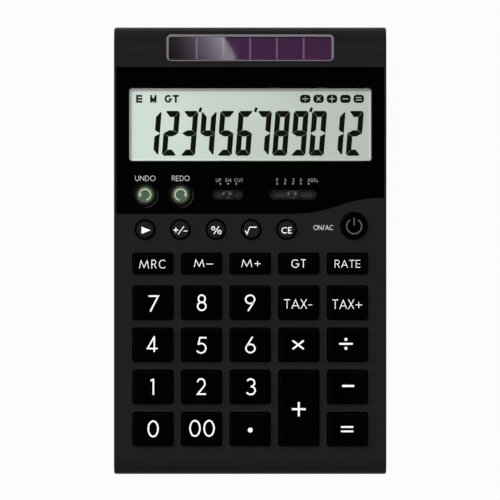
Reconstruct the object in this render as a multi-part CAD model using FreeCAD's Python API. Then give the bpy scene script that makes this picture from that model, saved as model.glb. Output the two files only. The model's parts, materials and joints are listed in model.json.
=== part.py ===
import FreeCAD, Part

import math
import os

from FreeCAD import Placement, Rotation, Vector

# Driving dimensions, in millimetres and degrees.
# The deck is the sloping top face. On it x runs to the right, u from the front edge to the rear,
# and n straight out of the deck, with n = 0 on the deck itself.

# Clearances
running_gap = 0.3
seat_gap = 0.1

# Case
wall = 2.0
deck_tilt = 5.5
front_roll = 6.0
rear_roll_length = 9.0
crease_angle = 12.0
case_edge = 1.0
split_front = 6.6
split_rear = 13.0
seam = 0.3
lip_height = 1.4
lip_thickness = 0.9
under_board_room = 0.6

# Key field
key_hole_width = 16.6
key_hole_length = 13.9
key_gap_across = 2.85
key_gap_along = 2.95
hole_corner = 1.2
memory_hole_length = 8.8
memory_gap = 4.3

# Key caps
key_rise = 2.8
key_travel = 1.6
key_draft = 0.45
key_edge = 0.45
key_dish = 0.25
key_wall = 1.2
flange_reach = 0.8
flange_thickness = 1.0
plunger_diameter = 4.4

# Round keys
function_row_gap = 9.2
function_inset = 5.2
function_diameter = 6.6
function_rise = 1.8
ring_width = 0.65
ring_depth = 0.9
power_diameter = 10.6
power_rise = 2.0
power_inset = 5.7
power_lift = 1.5
label_space = 26.9
undo_diameter = 6.5
undo_rise = 1.6

# Rubber dome sheet
sheet_thickness = 0.7
sheet_room = 0.4
dome_height = 2.6
dome_base = 8.0
dome_top = 4.5
dome_skin = 0.7
pill_diameter = 2.8
pill_height = 0.5

# Display panel and window
panel_thickness = 1.4
panel_proud = 0.2
panel_margin = 1.0
panel_row_gap = 6.35
panel_curve_start = 16.5
panel_curve_rise = 6.45
undo_row_gap = 7.6
undo_bevel_width = 0.9
undo_bevel_depth = 0.45
undo_ring = 0.75
window_row_gap = 13.5
window_reach = 1.2
window_length = 29.0
window_corner = 1.2
window_bevel = 0.4
window_overlap = 1.3
panel_head = 8.5

# Liquid crystal display
lcd_border = 1.3
lcd_contact_ledge = 2.2
lcd_glass = 1.1
lcd_reflector_thickness = 0.25
connector_width = 1.6
connector_inset = 6.0
holder_wall = 1.2

# Slide switches
slot_width = 3.9
switch_step = 3.2
slot_lead = 18.85
slot_spacing = 26.1
knob_length = 5.4
knob_rise = 0.5
ridge_diameter = 2.2
ridge_run = 0.5
ridge_spacing = 2.8
stem_length = 2.2
stem_width = 1.4
shoe_lap = 0.6
shoe_width = 4.6
shoe_thickness = 1.1
wiper_length = 6.0
wiper_thickness = 0.25
wiper_width = 2.4

# Solar window
band_length = 7.0
solar_width = 67.2
solar_length = 10.9
solar_behind_crease = 0.8
solar_tilt = 8.0
solar_collar = 0.6
solar_rim = 0.9
solar_front_rim = 0.35
solar_rim_proud = 0.15
solar_ledge = 0.5
solar_window_thickness = 0.8
solar_cell_thickness = 1.1
solar_floor = 1.2
solar_corner = 2.0

# Board and its screws
board_thickness = 1.6
board_lead = 1.2
board_side_gap = 1.2
post_diameter = 3.8
post_wall_gap = 0.4
board_screw_diameter = 1.6
board_screw_length = 4.2
board_screw_head = 3.2
board_screw_head_height = 1.1
rear_post_spacing = 70.0
blob_diameter = 14.0
blob_height = 2.0
capacitor_diameter = 5.0
capacitor_length = 7.0
capacitor_x = 24.0
capacitor_lead = 0.6

# Case screws
boss_diameter = 5.5
well_diameter = 6.2
screw_diameter = 2.2
screw_head = 4.2
screw_head_height = 1.4
screw_ledge = 2.0
screw_tip_room = 0.5
cross_slot_width = 0.7
cross_slot_depth = 0.8

# Battery bay
cell_diameter = 20.0
cell_thickness = 3.2
bay_x = -24.0
cap_rim = 1.2
cap_cup_height = 1.6
cap_lug_reach = 1.8
cap_lug_width = 7.0
cap_lug_thickness = 1.2
cap_turn = 60.0
coin_slot_width = 1.8
coin_slot_depth = 1.0
bay_wall = 1.3
bay_roof_thickness = 1.2
contact_room = 2.4
contact_thickness = 0.3
contact_width = 4.0
contact_tail = 1.2

# Feet, label place and lead wires
foot_diameter = 10.0
foot_height = 2.0
foot_seat = 1.0
foot_side_inset = 18.0
foot_end_inset = 12.0
foot_edge = 0.4
label_width = 56.0
label_length = 30.0
label_depth = 0.3
wire_diameter = 1.0
wire_bend = 3.0

# What is on the deck: each grid key with its column, its row from the front, and how many rows it spans
GRID_KEYS = [
    ("key_0", 0, 0, 1), ("key_00", 1, 0, 1), ("key_point", 2, 0, 1), ("key_plus", 3, 0, 2),
    ("key_equals", 4, 0, 1), ("key_1", 0, 1, 1), ("key_2", 1, 1, 1), ("key_3", 2, 1, 1),
    ("key_minus", 4, 1, 1), ("key_4", 0, 2, 1), ("key_5", 1, 2, 1), ("key_6", 2, 2, 1),
    ("key_times", 3, 2, 1), ("key_divide", 4, 2, 1), ("key_7", 0, 3, 1), ("key_8", 1, 3, 1),
    ("key_9", 2, 3, 1), ("key_tax_minus", 3, 3, 1), ("key_tax_plus", 4, 3, 1),
]
MEMORY_KEYS = ["key_memory_recall", "key_memory_minus", "key_memory_plus", "key_grand_total", "key_rate"]
FUNCTION_KEYS = ["key_shift", "key_sign", "key_percent", "key_root", "key_clear_entry"]
COLUMNS = len(MEMORY_KEYS)
GRID_ROWS = 1 + max(row + rows - 1 for name, column, row, rows in GRID_KEYS)

# Places along the deck, from the front edge to the rear
front_boss_u = wall + running_gap + well_diameter / 2
board_front = front_boss_u + well_diameter / 2 + 2 * running_gap
front_margin = board_front + board_lead + flange_reach
row_pitch = key_hole_length + key_gap_along
grid_rear = front_margin + GRID_ROWS * row_pitch - key_gap_along
memory_u = grid_rear + memory_gap + memory_hole_length / 2
function_u = memory_u + memory_hole_length / 2 + function_row_gap
power_u = function_u + power_lift
panel_low = function_u + panel_row_gap
undo_u = panel_low + undo_row_gap
window_low = undo_u + window_row_gap
window_high = window_low + window_length
window_u = (window_low + window_high) / 2
panel_high = window_high + panel_head
crease_u = panel_high + band_length
body_length = crease_u + rear_roll_length

# Places across the deck
column_pitch = key_hole_width + key_gap_across
grid_width = COLUMNS * column_pitch - key_gap_across
post_x = grid_width / 2 + flange_reach + running_gap + post_diameter / 2
body_width = 2 * (post_x + post_diameter / 2 + post_wall_gap + wall)
function_first_x = -grid_width / 2 + function_inset
power_x = grid_width / 2 - power_inset
function_pitch = (power_x - label_space - function_first_x) / (len(FUNCTION_KEYS) - 1)
undo_x = function_first_x
redo_x = function_first_x + function_pitch
rounding_x = redo_x + slot_lead
decimal_x = rounding_x + slot_spacing
window_width = grid_width + 2 * window_reach
panel_half = body_width / 2 - panel_margin

# Levels below the deck
panel_floor = panel_proud - panel_thickness
flange_top = -wall - seat_gap
flange_bottom = flange_top - flange_thickness
sheet_top = flange_bottom - key_travel - sheet_room
board_top = sheet_top - sheet_thickness
board_bottom = board_top - board_thickness
front_depth = -board_bottom + under_board_room + wall
dome_level = sheet_top + dome_height
plunger_bottom = dome_level + seat_gap / 2
lcd_top = -wall - seat_gap
lcd_rear_top = lcd_top - lcd_glass
reflector_top = lcd_rear_top - lcd_glass
holder_top = reflector_top - lcd_reflector_thickness
screw_seat = board_top - seat_gap - screw_ledge
shoe_top = -wall - running_gap
shoe_bottom = shoe_top - shoe_thickness

tilt = math.radians(deck_tilt)
crease = math.radians(crease_angle)
rear_radius = rear_roll_length / (1 - math.sin(crease))
far = 2 * body_length

# Liquid crystal display and holder outlines
lcd_width = window_width + 2 * lcd_border
lcd_high = window_high + lcd_border
rear_glass_low = window_low - lcd_border / 2
lcd_low = rear_glass_low - lcd_contact_ledge
holder_half = lcd_width / 2 + seat_gap + holder_wall
holder_high = lcd_high + seat_gap + holder_wall

# Screw places
mid_boss_u = lcd_low - running_gap - well_diameter / 2
rear_boss_u = crease_u - boss_diameter / 2
boss_x = body_width / 2 - wall - running_gap - well_diameter / 2
BOSSES = []
for side in (-1, 1):
    for boss_u in (front_boss_u, mid_boss_u, rear_boss_u):
        BOSSES.append((side * boss_x, boss_u))
rear_post_u = holder_high + running_gap + post_diameter / 2
board_rear = rear_post_u + post_diameter / 2 + running_gap
POSTS = []
for side in (-1, 1):
    for post_u in (
        front_margin + key_hole_length / 2,
        front_margin + key_hole_length / 2 + 2 * row_pitch,
        memory_u,
        (function_u + undo_u) / 2,
    ):
        POSTS.append((side * post_x, post_u))
    POSTS.append((side * rear_post_spacing / 2, rear_post_u))


def grid_x(column):
    """Centre of a key column."""
    return (column - (COLUMNS - 1) / 2) * column_pitch


def floor_level(u, inset=0):
    """Level of the sloping floor under a place on the deck, moved inwards by the inset."""
    return -front_depth - u * math.tan(tilt) + inset / math.cos(tilt)


def split_level(u):
    """Level of the seam between the two case shells."""
    return -split_front - (split_rear - split_front) * u / body_length


def rounded_rectangle(width, length, radius, x=0, u=0, n=0):
    """Closed outline with round corners, parallel to the deck."""
    arcs = []
    for quarter, (right, rear) in enumerate([(1, 1), (-1, 1), (-1, -1), (1, -1)]):
        centre = Vector(x + right * (width / 2 - radius), u + rear * (length / 2 - radius), n)
        arcs.append(Part.makeCircle(radius, centre, Vector(0, 0, 1), 90 * quarter, 90 * quarter + 90))
    edges = []
    for arc, following in zip(arcs, arcs[1:] + arcs[:1]):
        start = arc.Vertexes[1].Point
        end = following.Vertexes[0].Point
        edges.append(arc)
        if start.distanceToPoint(end) > 1e-6:
            edges.append(Part.makeLine(start, end))
    return Part.Wire(edges)


def plate(width, length, radius, x, u, low, high):
    """Rounded plate parallel to the deck, from one level to another."""
    outline = rounded_rectangle(width, length, radius, x, u, low)
    return Part.Face(outline).extrude(Vector(0, 0, high - low))


def block(x_low, x_high, u_low, u_high, low, high):
    """Square block between two corners."""
    return Part.makeBox(x_high - x_low, u_high - u_low, high - low, Vector(x_low, u_low, low))


def disc(diameter, x, u, low, high):
    """Round column standing on the deck's normal."""
    return Part.makeCylinder(diameter / 2, high - low, Vector(x, u, low))


def ring(outer, inner, x, u, low, high):
    """Tube standing on the deck's normal."""
    return disc(outer, x, u, low, high).cut(disc(inner, x, u, low, high))


def side_prism(points, half_width):
    """Prism across the body, from an outline of (u, n) points."""
    corners = [Vector(-half_width, u, n) for u, n in points]
    return Part.Face(Part.makePolygon(corners + corners[:1])).extrude(Vector(2 * half_width, 0, 0))


def sheet_strip(points, thickness, width):
    """Bent metal strip: a flat polyline of (x, n) points given a thickness, then a width along u."""
    left, right = [], []
    for index, point in enumerate(points):
        before = points[max(index - 1, 0)]
        after = points[min(index + 1, len(points) - 1)]
        here = Vector(point[0], 0, point[1])
        arriving = here - Vector(before[0], 0, before[1])
        leaving = Vector(after[0], 0, after[1]) - here
        arriving = (arriving if arriving.Length else leaving).normalize()
        leaving = (leaving if leaving.Length else arriving).normalize()
        across = Vector(-(arriving + leaving).z, 0, (arriving + leaving).x).normalize()
        reach = thickness / 2 / (across.x * -arriving.z + across.z * arriving.x)
        left.append(here + across * reach)
        right.append(here - across * reach)
    outline = left + right[::-1]
    strip = Part.Face(Part.makePolygon(outline + outline[:1])).extrude(Vector(0, width, 0))
    strip.translate(Vector(0, -width / 2, 0))
    return strip


def round_wire(points, diameter, bend):
    """Wire along straight runs with a round bend at each corner."""
    corners = [Vector(*point) for point in points]
    start = corners[0]
    edges = []
    for before, corner, after in zip(corners, corners[1:], corners[2:]):
        back = (before - corner).normalize()
        ahead = (after - corner).normalize()
        half_angle = back.getAngle(ahead) / 2
        reach = bend / math.tan(half_angle)
        middle = corner + (back + ahead).normalize() * (bend / math.sin(half_angle) - bend)
        edges.append(Part.makeLine(start, corner + back * reach))
        edges.append(Part.Arc(corner + back * reach, middle, corner + ahead * reach).toShape())
        start = corner + ahead * reach
    edges.append(Part.makeLine(start, corners[-1]))
    section = Part.Wire(Part.makeCircle(diameter / 2, corners[0], corners[1] - corners[0]))
    return Part.Wire(edges).makePipeShell([section], True, False)


# Whole body, before it is split into two shells

def body_outline(inset):
    """Side outline of the body, moved inwards by the inset: front roll, flat deck, crease, rear roll, floor."""
    front_radius = front_roll - inset
    rear_u = body_length - rear_radius
    rear_n = -rear_radius * math.cos(crease)
    radius = rear_radius - inset
    crease_end = rear_u + math.sqrt(radius ** 2 - (rear_n + inset) ** 2)
    half_turn = math.atan2(-inset - rear_n, crease_end - rear_u) / 2
    diagonal = front_radius * math.sqrt(0.5)

    def point(u, n):
        return Vector(0, u, n)

    front_foot = point(inset, floor_level(inset, inset))
    front_top = point(inset, -front_roll)
    front_middle = point(front_roll - diagonal, -front_roll + diagonal)
    deck_front = point(front_roll, -inset)
    deck_rear = point(crease_end, -inset)
    rear_middle = point(rear_u + radius * math.cos(half_turn), rear_n + radius * math.sin(half_turn))
    rear_top = point(body_length - inset, rear_n)
    rear_foot = point(body_length - inset, floor_level(body_length - inset, inset))
    return Part.Wire([
        Part.makeLine(front_foot, front_top),
        Part.Arc(front_top, front_middle, deck_front).toShape(),
        Part.makeLine(deck_front, deck_rear),
        Part.Arc(deck_rear, rear_middle, rear_top).toShape(),
        Part.makeLine(rear_top, rear_foot),
        Part.makeLine(rear_foot, front_foot),
    ])


def body_form(inset):
    """The body as one solid, moved inwards by the inset."""
    half = body_width / 2 - inset
    face = Part.Face(body_outline(inset))
    face.translate(Vector(-half, 0, 0))
    return face.extrude(Vector(2 * half, 0, 0))


def rounded_body():
    """The outer form with its side and floor edges rounded."""
    form = body_form(0)
    edges = []
    for edge in form.Edges:
        box = edge.BoundBox
        on_side = box.XLength < 1e-6
        on_floor = box.XLength > 1e-6 and box.ZMax < -front_depth + 1e-6
        if on_side or on_floor:
            edges.append(edge)
    return form.makeFillet(case_edge, edges)


def band_along_seam(low, high):
    """Everything between two heights above the seam."""
    return side_prism([
        (-wall, split_level(-wall) + low),
        (body_length + wall, split_level(body_length + wall) + low),
        (body_length + wall, split_level(body_length + wall) + high),
        (-wall, split_level(-wall) + high),
    ], body_width)


OUTER = rounded_body()
CAVITY = body_form(wall)
LIP_FACE = wall - lip_thickness


# Solar window, in its own tilted plane at the rear of the deck

solar_u = crease_u + solar_behind_crease
solar_half = solar_length / 2 + solar_collar
SOLAR_PLANE = Placement(
    Vector(0, solar_u, -solar_half * math.tan(math.radians(solar_tilt))),
    Rotation(Vector(1, 0, 0), -solar_tilt),
)
solar_seat = -solar_window_thickness - seat_gap
solar_pocket = solar_seat - solar_cell_thickness - seat_gap
solar_base = solar_pocket - solar_floor


def on_solar_plane(shape):
    """Move a shape from the solar window's own plane to the deck."""
    shape.Placement = SOLAR_PLANE.multiply(shape.Placement)
    return shape


def solar_plate(shrink, radius, low, high):
    """Plate of the solar window's outline, smaller by the shrink on every side."""
    return plate(solar_width - 2 * shrink, solar_length - 2 * shrink, radius, 0, 0, low, high)


def solar_light(shrink, radius, low, high):
    """Plate of the opening inside the rim, whose front bar is thinner, smaller by the shrink on every side."""
    width = solar_width - 2 * (seat_gap + solar_rim + shrink)
    length = solar_length - 2 * (seat_gap + shrink) - solar_rim - solar_front_rim
    return plate(width, length, radius, 0, (solar_front_rim - solar_rim) / 2, low, high)


def solar_well():
    """Material and hollow of the well that carries the solar window, and the deck that it replaces."""
    material = on_solar_plane(solar_plate(-solar_collar, solar_corner, solar_base, 0))
    above = on_solar_plane(solar_plate(-solar_collar, solar_corner, 0, wall))
    seat = on_solar_plane(solar_plate(0, solar_corner, solar_seat, wall))
    pocket = on_solar_plane(solar_plate(solar_ledge, solar_corner / 2, solar_pocket, solar_seat))
    hollow = [seat, pocket]
    for side in (-1, 1):
        hollow.append(disc(wire_diameter + 2 * seat_gap, side * 2 * wire_diameter, solar_u, board_bottom, 0))
    return material, above, hollow


def solar_pieces():
    """Rim, clear window and cell."""
    top = solar_rim_proud
    outer = solar_plate(seat_gap, solar_corner - seat_gap, solar_seat, top)
    frame = outer.cut(solar_light(0, solar_corner / 2, solar_seat, top))
    window = solar_light(seat_gap, solar_corner / 2 - seat_gap, solar_seat, -seat_gap)
    cell_outline = solar_ledge + seat_gap
    cell_top = solar_pocket + solar_cell_thickness
    cell = solar_plate(cell_outline, solar_corner / 2 - seat_gap, solar_pocket, cell_top)
    return on_solar_plane(frame), on_solar_plane(window), on_solar_plane(cell)


# Display panel

def panel_outline(grow, level):
    """Outline of the panel: square at the rear, with an S curve in its lower edge on the right."""
    right = panel_half + grow
    low = panel_low - grow
    high = panel_high + grow
    half_run = (right - panel_curve_start) / 2
    half_rise = panel_curve_rise / 2
    radius = (half_run ** 2 + half_rise ** 2) / (2 * half_rise)
    quarter_turn = math.atan(half_rise / half_run)
    run = radius * math.sin(quarter_turn)
    rise = radius * (1 - math.cos(quarter_turn))

    def point(x, u):
        return Vector(x, u, level)

    curve_start = point(panel_curve_start, low)
    curve_middle = point(panel_curve_start + half_run, low + half_rise)
    curve_end = point(right, low + panel_curve_rise)
    first_arc = Part.Arc(curve_start, point(panel_curve_start + run, low + rise), curve_middle)
    second_arc = Part.Arc(curve_middle, point(right - run, low + panel_curve_rise - rise), curve_end)
    return Part.Wire([
        Part.makeLine(point(-right, low), curve_start),
        first_arc.toShape(),
        second_arc.toShape(),
        Part.makeLine(curve_end, point(right, high)),
        Part.makeLine(point(right, high), point(-right, high)),
        Part.makeLine(point(-right, high), point(-right, low)),
    ])


def slot_length(steps):
    """Length of a switch slot in the panel, for a knob that moves this many steps each way."""
    return knob_length + 2 * steps * switch_step + 2 * running_gap


def stem_slot_length(steps):
    """Length of the slot in the deck that the knob's stem moves along."""
    return stem_length + 2 * steps * switch_step + 2 * running_gap


SWITCHES = [("rounding", rounding_x, 1), ("decimal", decimal_x, 2)]
UNDO_KEYS = [("key_undo", undo_x), ("key_redo", redo_x)]
undo_hole = undo_diameter + 2 * running_gap


def bevelled_window(low, high):
    """Window opening, widening at the panel's face."""
    opening = plate(window_width, window_length, window_corner, 0, window_u, low, high)
    mouth = Part.makeLoft([
        rounded_rectangle(window_width, window_length, window_corner, 0, window_u, high - window_bevel),
        rounded_rectangle(
            window_width + 2 * window_bevel, window_length + 2 * window_bevel,
            window_corner + window_bevel, 0, window_u, high,
        ),
    ], True, True)
    return opening.fuse(mouth)


def display_panel():
    """Gloss panel with the window, the two bevelled key holes and the two switch slots."""
    panel = Part.Face(panel_outline(0, panel_floor)).extrude(Vector(0, 0, panel_thickness))
    holes = [bevelled_window(panel_floor, panel_proud)]
    for name, x in UNDO_KEYS:
        bore = undo_hole + 2 * undo_ring
        holes.append(disc(bore, x, undo_u, panel_floor, panel_proud))
        holes.append(Part.makeCone(
            bore / 2, bore / 2 + undo_bevel_width, undo_bevel_depth,
            Vector(x, undo_u, panel_proud - undo_bevel_depth),
        ))
    for name, x, steps in SWITCHES:
        holes.append(plate(slot_length(steps), slot_width, slot_width / 2, x, undo_u, panel_floor, panel_proud))
    return panel.cut(holes)


def display_window():
    """Clear sheet under the panel, in the deck's opening."""
    width = window_width + 2 * window_overlap
    length = window_length + 2 * window_overlap
    return plate(width, length, window_corner, 0, window_u, -wall, panel_floor)


# Liquid crystal display

def lcd_pieces():
    """Front glass with its contact ledge, rear glass, reflector, connector strip and holder."""
    half = lcd_width / 2
    front = block(-half, half, lcd_low, lcd_high, lcd_rear_top, lcd_top)
    rear = block(-half, half, rear_glass_low, lcd_high, reflector_top, lcd_rear_top)
    reflector = block(-half, half, rear_glass_low, lcd_high, holder_top, reflector_top)
    ledge_u = lcd_low + lcd_contact_ledge / 2
    connector = block(
        -half + connector_inset, half - connector_inset,
        ledge_u - connector_width / 2, ledge_u + connector_width / 2,
        board_top, lcd_rear_top,
    )
    tray = block(-holder_half, holder_half, rear_glass_low, holder_high, board_top, lcd_top)
    inside = half + seat_gap
    recess = block(-inside, inside, lcd_low, lcd_high + seat_gap, holder_top, lcd_top)
    opening = plate(
        window_width / 2, window_length / 2, window_corner, 0, window_u, board_top, holder_top,
    )
    return front, rear, reflector, connector, tray.cut([recess, opening])


# Keys

def key_cap(width, length, radius, rise):
    """Outer cap of a rectangular key: drafted sides, a shallow dish across and a rounded rim."""
    top_width = width - 2 * key_draft
    foot = rounded_rectangle(width, length, radius)
    crown = rounded_rectangle(top_width, length - 2 * key_draft, radius, 0, 0, rise)
    cap = Part.makeLoft([foot, crown], True, True)
    dish_radius = (top_width ** 2 / 4 + key_dish ** 2) / (2 * key_dish)
    dish_axis = Vector(0, -length, rise - key_dish + dish_radius)
    cap = cap.cut(Part.makeCylinder(dish_radius, 2 * length, dish_axis, Vector(0, 1, 0)))
    rim = [edge for edge in cap.Edges if edge.BoundBox.ZMin > rise - 2 * key_dish]
    return cap.makeFillet(key_edge, rim)


def grid_key(hole_length):
    """Rectangular key: hollow cap, retaining flange under the deck and a plunger on its dome."""
    width = key_hole_width - 2 * running_gap
    length = hole_length - 2 * running_gap
    radius = hole_corner - running_gap
    roof = key_rise - key_dish - key_wall
    key = key_cap(width, length, radius, key_rise).fuse([
        plate(width, length, radius, 0, 0, flange_bottom, 0),
        plate(
            key_hole_width + 2 * flange_reach, hole_length + 2 * flange_reach, hole_corner,
            0, 0, flange_bottom, flange_top,
        ),
    ])
    inside = plate(width - 2 * key_wall, length - 2 * key_wall, radius / 2, 0, 0, flange_bottom, roof)
    plunger = disc(plunger_diameter, 0, 0, plunger_bottom, roof)
    return key.cut(inside).fuse(plunger).removeSplitter()


def round_key(diameter, rise):
    """Round key: solid cap, retaining flange and a hollow over its dome."""
    cap = disc(diameter, 0, 0, flange_bottom, rise)
    rim = [edge for edge in cap.Edges if edge.BoundBox.ZMin > rise - seat_gap]
    cap = cap.makeFillet(key_edge, rim)
    flange = disc(diameter + 2 * running_gap + 2 * flange_reach, 0, 0, flange_bottom, flange_top)
    dome_room = (plunger_bottom - flange_bottom) / dome_height * (dome_base - dome_top)
    hollow = disc(dome_top + dome_room + 2 * seat_gap, 0, 0, flange_bottom, plunger_bottom)
    return cap.fuse(flange).cut(hollow).removeSplitter()


def round_places():
    """Every round key: name, diameter, rise, centre."""
    places = []
    for index, name in enumerate(FUNCTION_KEYS):
        x = function_first_x + index * function_pitch
        places.append((name, function_diameter, function_rise, x, function_u))
    places.append(("key_power", power_diameter, power_rise, power_x, power_u))
    for name, x in UNDO_KEYS:
        places.append((name, undo_diameter, undo_rise, x, undo_u))
    return places


def grid_places():
    """Every rectangular key: name, centre and the length of its hole."""
    places = []
    for name, column, row, rows in GRID_KEYS:
        hole = rows * row_pitch - key_gap_along
        places.append((name, grid_x(column), front_margin + row * row_pitch + hole / 2, hole))
    for column, name in enumerate(MEMORY_KEYS):
        places.append((name, grid_x(column), memory_u, memory_hole_length))
    return places


# Slide switches

def ridge(x, level):
    """Finger ridge across a knob, with round ends and half of it above the level."""
    radius = ridge_diameter / 2
    ends = [Vector(x, side * ridge_run / 2, level) for side in (-1, 1)]
    bar = Part.makeCylinder(radius, ridge_run, ends[0], Vector(0, 1, 0))
    return bar.fuse([Part.makeSphere(radius, end) for end in ends])


def slider(x, steps):
    """Knob with two ridges, a stem through the deck, and a shoe that closes the stem's slot from below."""
    knob_width = slot_width - 2 * running_gap
    knob_top = panel_proud + knob_rise
    shoe_half = stem_slot_length(steps) / 2 + shoe_lap
    pieces = [
        plate(stem_length, stem_width, stem_width / 4, 0, 0, shoe_bottom, panel_floor + running_gap),
        block(-shoe_half, shoe_half, -shoe_width / 2, shoe_width / 2, shoe_bottom, shoe_top),
    ]
    for side in (-1, 1):
        pieces.append(ridge(side * ridge_spacing / 2, knob_top))
    knob = plate(knob_length, knob_width, knob_width / 2, 0, 0, panel_floor + running_gap, knob_top)
    knob = knob.fuse(pieces).removeSplitter()
    knob.translate(Vector(x, undo_u, 0))
    return knob


def wiper(x):
    """Bent contact under the shoe that slides on the board."""
    top = shoe_bottom - wiper_thickness / 2
    low = board_top + seat_gap / 2 + wiper_thickness / 2
    end = wiper_length / 2
    drop = top - low
    strip = sheet_strip([
        (end, top), (-end + drop / 4, top), (-end, top - drop / 4), (0, low), (drop / 2, low + drop / 4),
    ], wiper_thickness, wiper_width)
    strip.translate(Vector(x, undo_u, 0))
    return strip


# Rubber dome sheet and board

def key_centres():
    """Centre of every key on the deck."""
    centres = [(x, u) for name, x, u, hole in grid_places()]
    return centres + [(x, u) for name, diameter, rise, x, u in round_places()]


def rubber_keypad():
    """One rubber sheet with a hollow dome under every key, and a carbon pill in each dome."""
    half = grid_width / 2 + flange_reach / 2
    power_reach = power_diameter / 2 + running_gap + flange_reach
    main_rear = power_u + power_reach
    undo_reach = undo_diameter / 2 + running_gap + flange_reach
    sheet = block(-half, half, board_front + board_lead / 2, main_rear, board_top, sheet_top)
    tongue = block(-half, redo_x + undo_reach, main_rear, undo_u + undo_reach, board_top, sheet_top)
    domes, hollows, pills = [], [], []
    roof = dome_level - dome_skin
    for x, u in key_centres():
        domes.append(Part.makeCone(dome_base / 2, dome_top / 2, dome_height, Vector(x, u, sheet_top)))
        hollows.append(Part.makeCone(
            dome_base / 2 - dome_skin / 2, dome_top / 2 - dome_skin / 2, roof - board_top,
            Vector(x, u, board_top),
        ))
        pills.append(disc(pill_diameter, x, u, roof - pill_height, roof + dome_skin / 2))
    return sheet.fuse([tongue] + domes).cut(hollows).fuse(pills).removeSplitter()


def main_board():
    """Circuit board, clear of the screw wells, with a hole for each of its screws."""
    half = body_width / 2 - wall - board_side_gap
    board = block(-half, half, board_front, board_rear, board_bottom, board_top)
    holes = []
    for x, u in BOSSES:
        holes.append(disc(well_diameter + 2 * running_gap, x, u, board_bottom, board_top))
    for x, u in POSTS:
        holes.append(disc(board_screw_diameter + 2 * seat_gap, x, u, board_bottom, board_top))
    return board.cut(holes)


def chip_blob():
    """Resin drop over the chip, on the underside of the board."""
    radius = (blob_diameter ** 2 / 4 + blob_height ** 2) / (2 * blob_height)
    ball = Part.makeSphere(radius, Vector(0, function_u, board_bottom - blob_height + radius))
    return ball.common(disc(blob_diameter, 0, function_u, board_bottom - blob_height, board_bottom))


def capacitor():
    """Upright can under the board, on two short leads."""
    top = board_bottom - capacitor_lead
    can = disc(capacitor_diameter, capacitor_x, function_u, top - capacitor_length, top)
    rims = [edge for edge in can.Edges if edge.BoundBox.ZLength < seat_gap]
    can = can.makeFillet(capacitor_lead / 2, rims)
    leads = []
    for side in (-1, 1):
        x = capacitor_x + side * capacitor_diameter / 4
        leads.append(disc(capacitor_lead, x, function_u, top - capacitor_lead, board_bottom))
    return can.fuse(leads)


# Screws

def pan_screw(diameter, length, head, head_height):
    """Pan head screw with a cross slot. Its seat faces up and its point enters the boss."""
    shank = disc(diameter, 0, 0, 0, length - diameter / 2)
    point = Part.makeCone(diameter / 2, diameter / 8, diameter / 2, Vector(0, 0, length - diameter / 2))
    top = disc(head, 0, 0, -head_height, 0)
    rim = [edge for edge in top.Edges if edge.BoundBox.ZMax < -head_height + seat_gap]
    top = top.makeFillet(head_height / 2, rim)
    reach = head / 3
    half = cross_slot_width / 2
    slots = [
        block(-reach, reach, -half, half, -head_height, -head_height + cross_slot_depth),
        block(-half, half, -reach, reach, -head_height, -head_height + cross_slot_depth),
    ]
    return top.fuse([shank, point]).removeSplitter().cut(slots)


def case_screws():
    """Screws that hold the two shells together, up through the wells."""
    length = -wall - 2 * screw_tip_room - screw_seat
    screw = pan_screw(screw_diameter, length, screw_head, screw_head_height)
    return Part.makeCompound([screw.translated(Vector(x, u, screw_seat)) for x, u in BOSSES])


def board_screws():
    """Screws that hold the board on the deck's posts."""
    screw = pan_screw(board_screw_diameter, board_screw_length, board_screw_head, board_screw_head_height)
    return Part.makeCompound([screw.translated(Vector(x, u, board_bottom)) for x, u in POSTS])


# Top case

def deck_holes():
    """Everything cut through or into the deck."""
    holes = []
    for name, x, u, hole in grid_places():
        holes.append(plate(key_hole_width, hole, hole_corner, x, u, -wall, wall))
    for name, diameter, rise, x, u in round_places():
        bore = diameter + 2 * running_gap
        holes.append(disc(bore, x, u, -wall, wall))
        if name in FUNCTION_KEYS:
            holes.append(disc(bore + 2 * ring_width, x, u, -ring_depth, wall))
    for name, x, steps in SWITCHES:
        length = stem_slot_length(steps)
        width = stem_width + 2 * running_gap
        holes.append(plate(length, width, width / 2 - seat_gap, x, undo_u, -wall, wall))
    holes.append(Part.Face(panel_outline(seat_gap, panel_floor)).extrude(Vector(0, 0, wall)))
    window = window_overlap + seat_gap
    holes.append(plate(
        window_width + 2 * window, window_length + 2 * window, window_corner, 0, window_u, -wall, wall,
    ))
    return holes


def top_case():
    """Upper shell: deck, skirt down to the seam, bosses, posts and the solar well."""
    well, above_well, well_hollow = solar_well()
    shell = OUTER.common(band_along_seam(seam / 2, far)).cut(CAVITY)
    rebate = body_form(LIP_FACE - seat_gap).common(band_along_seam(0, lip_height + seat_gap))
    shell = shell.cut([rebate, above_well])
    supports = [well]
    pilots = []
    for x, u in BOSSES:
        supports.append(disc(boss_diameter, x, u, board_top, -wall + seat_gap).common(OUTER))
        pilots.append(disc(screw_diameter + seat_gap, x, u, board_top, -wall - screw_tip_room))
    for x, u in POSTS:
        supports.append(disc(post_diameter, x, u, board_top, -wall + seat_gap))
        tip = board_bottom + board_screw_length + seat_gap
        pilots.append(disc(board_screw_diameter + seat_gap, x, u, board_top, tip))
    shell = shell.cut(deck_holes()).fuse(supports)
    return shell.cut(pilots + well_hollow).removeSplitter()


# The floor has its own frame: x as on the deck, y along the floor from its front edge, z up from its underside.

DECK_ON_FLOOR = Placement(Vector(0, 0, 0), Rotation(Vector(1, 0, 0), deck_tilt)).multiply(
    Placement(Vector(0, 0, front_depth), Rotation())
)


def stand(shape):
    """Move a shape from the deck's frame to the floor's frame."""
    shape.Placement = DECK_ON_FLOOR.multiply(shape.Placement)
    return shape


def floor_y(u):
    """Place along the floor that lies under a place on the deck."""
    return DECK_ON_FLOOR.multVec(Vector(0, u, -front_depth)).y


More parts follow.
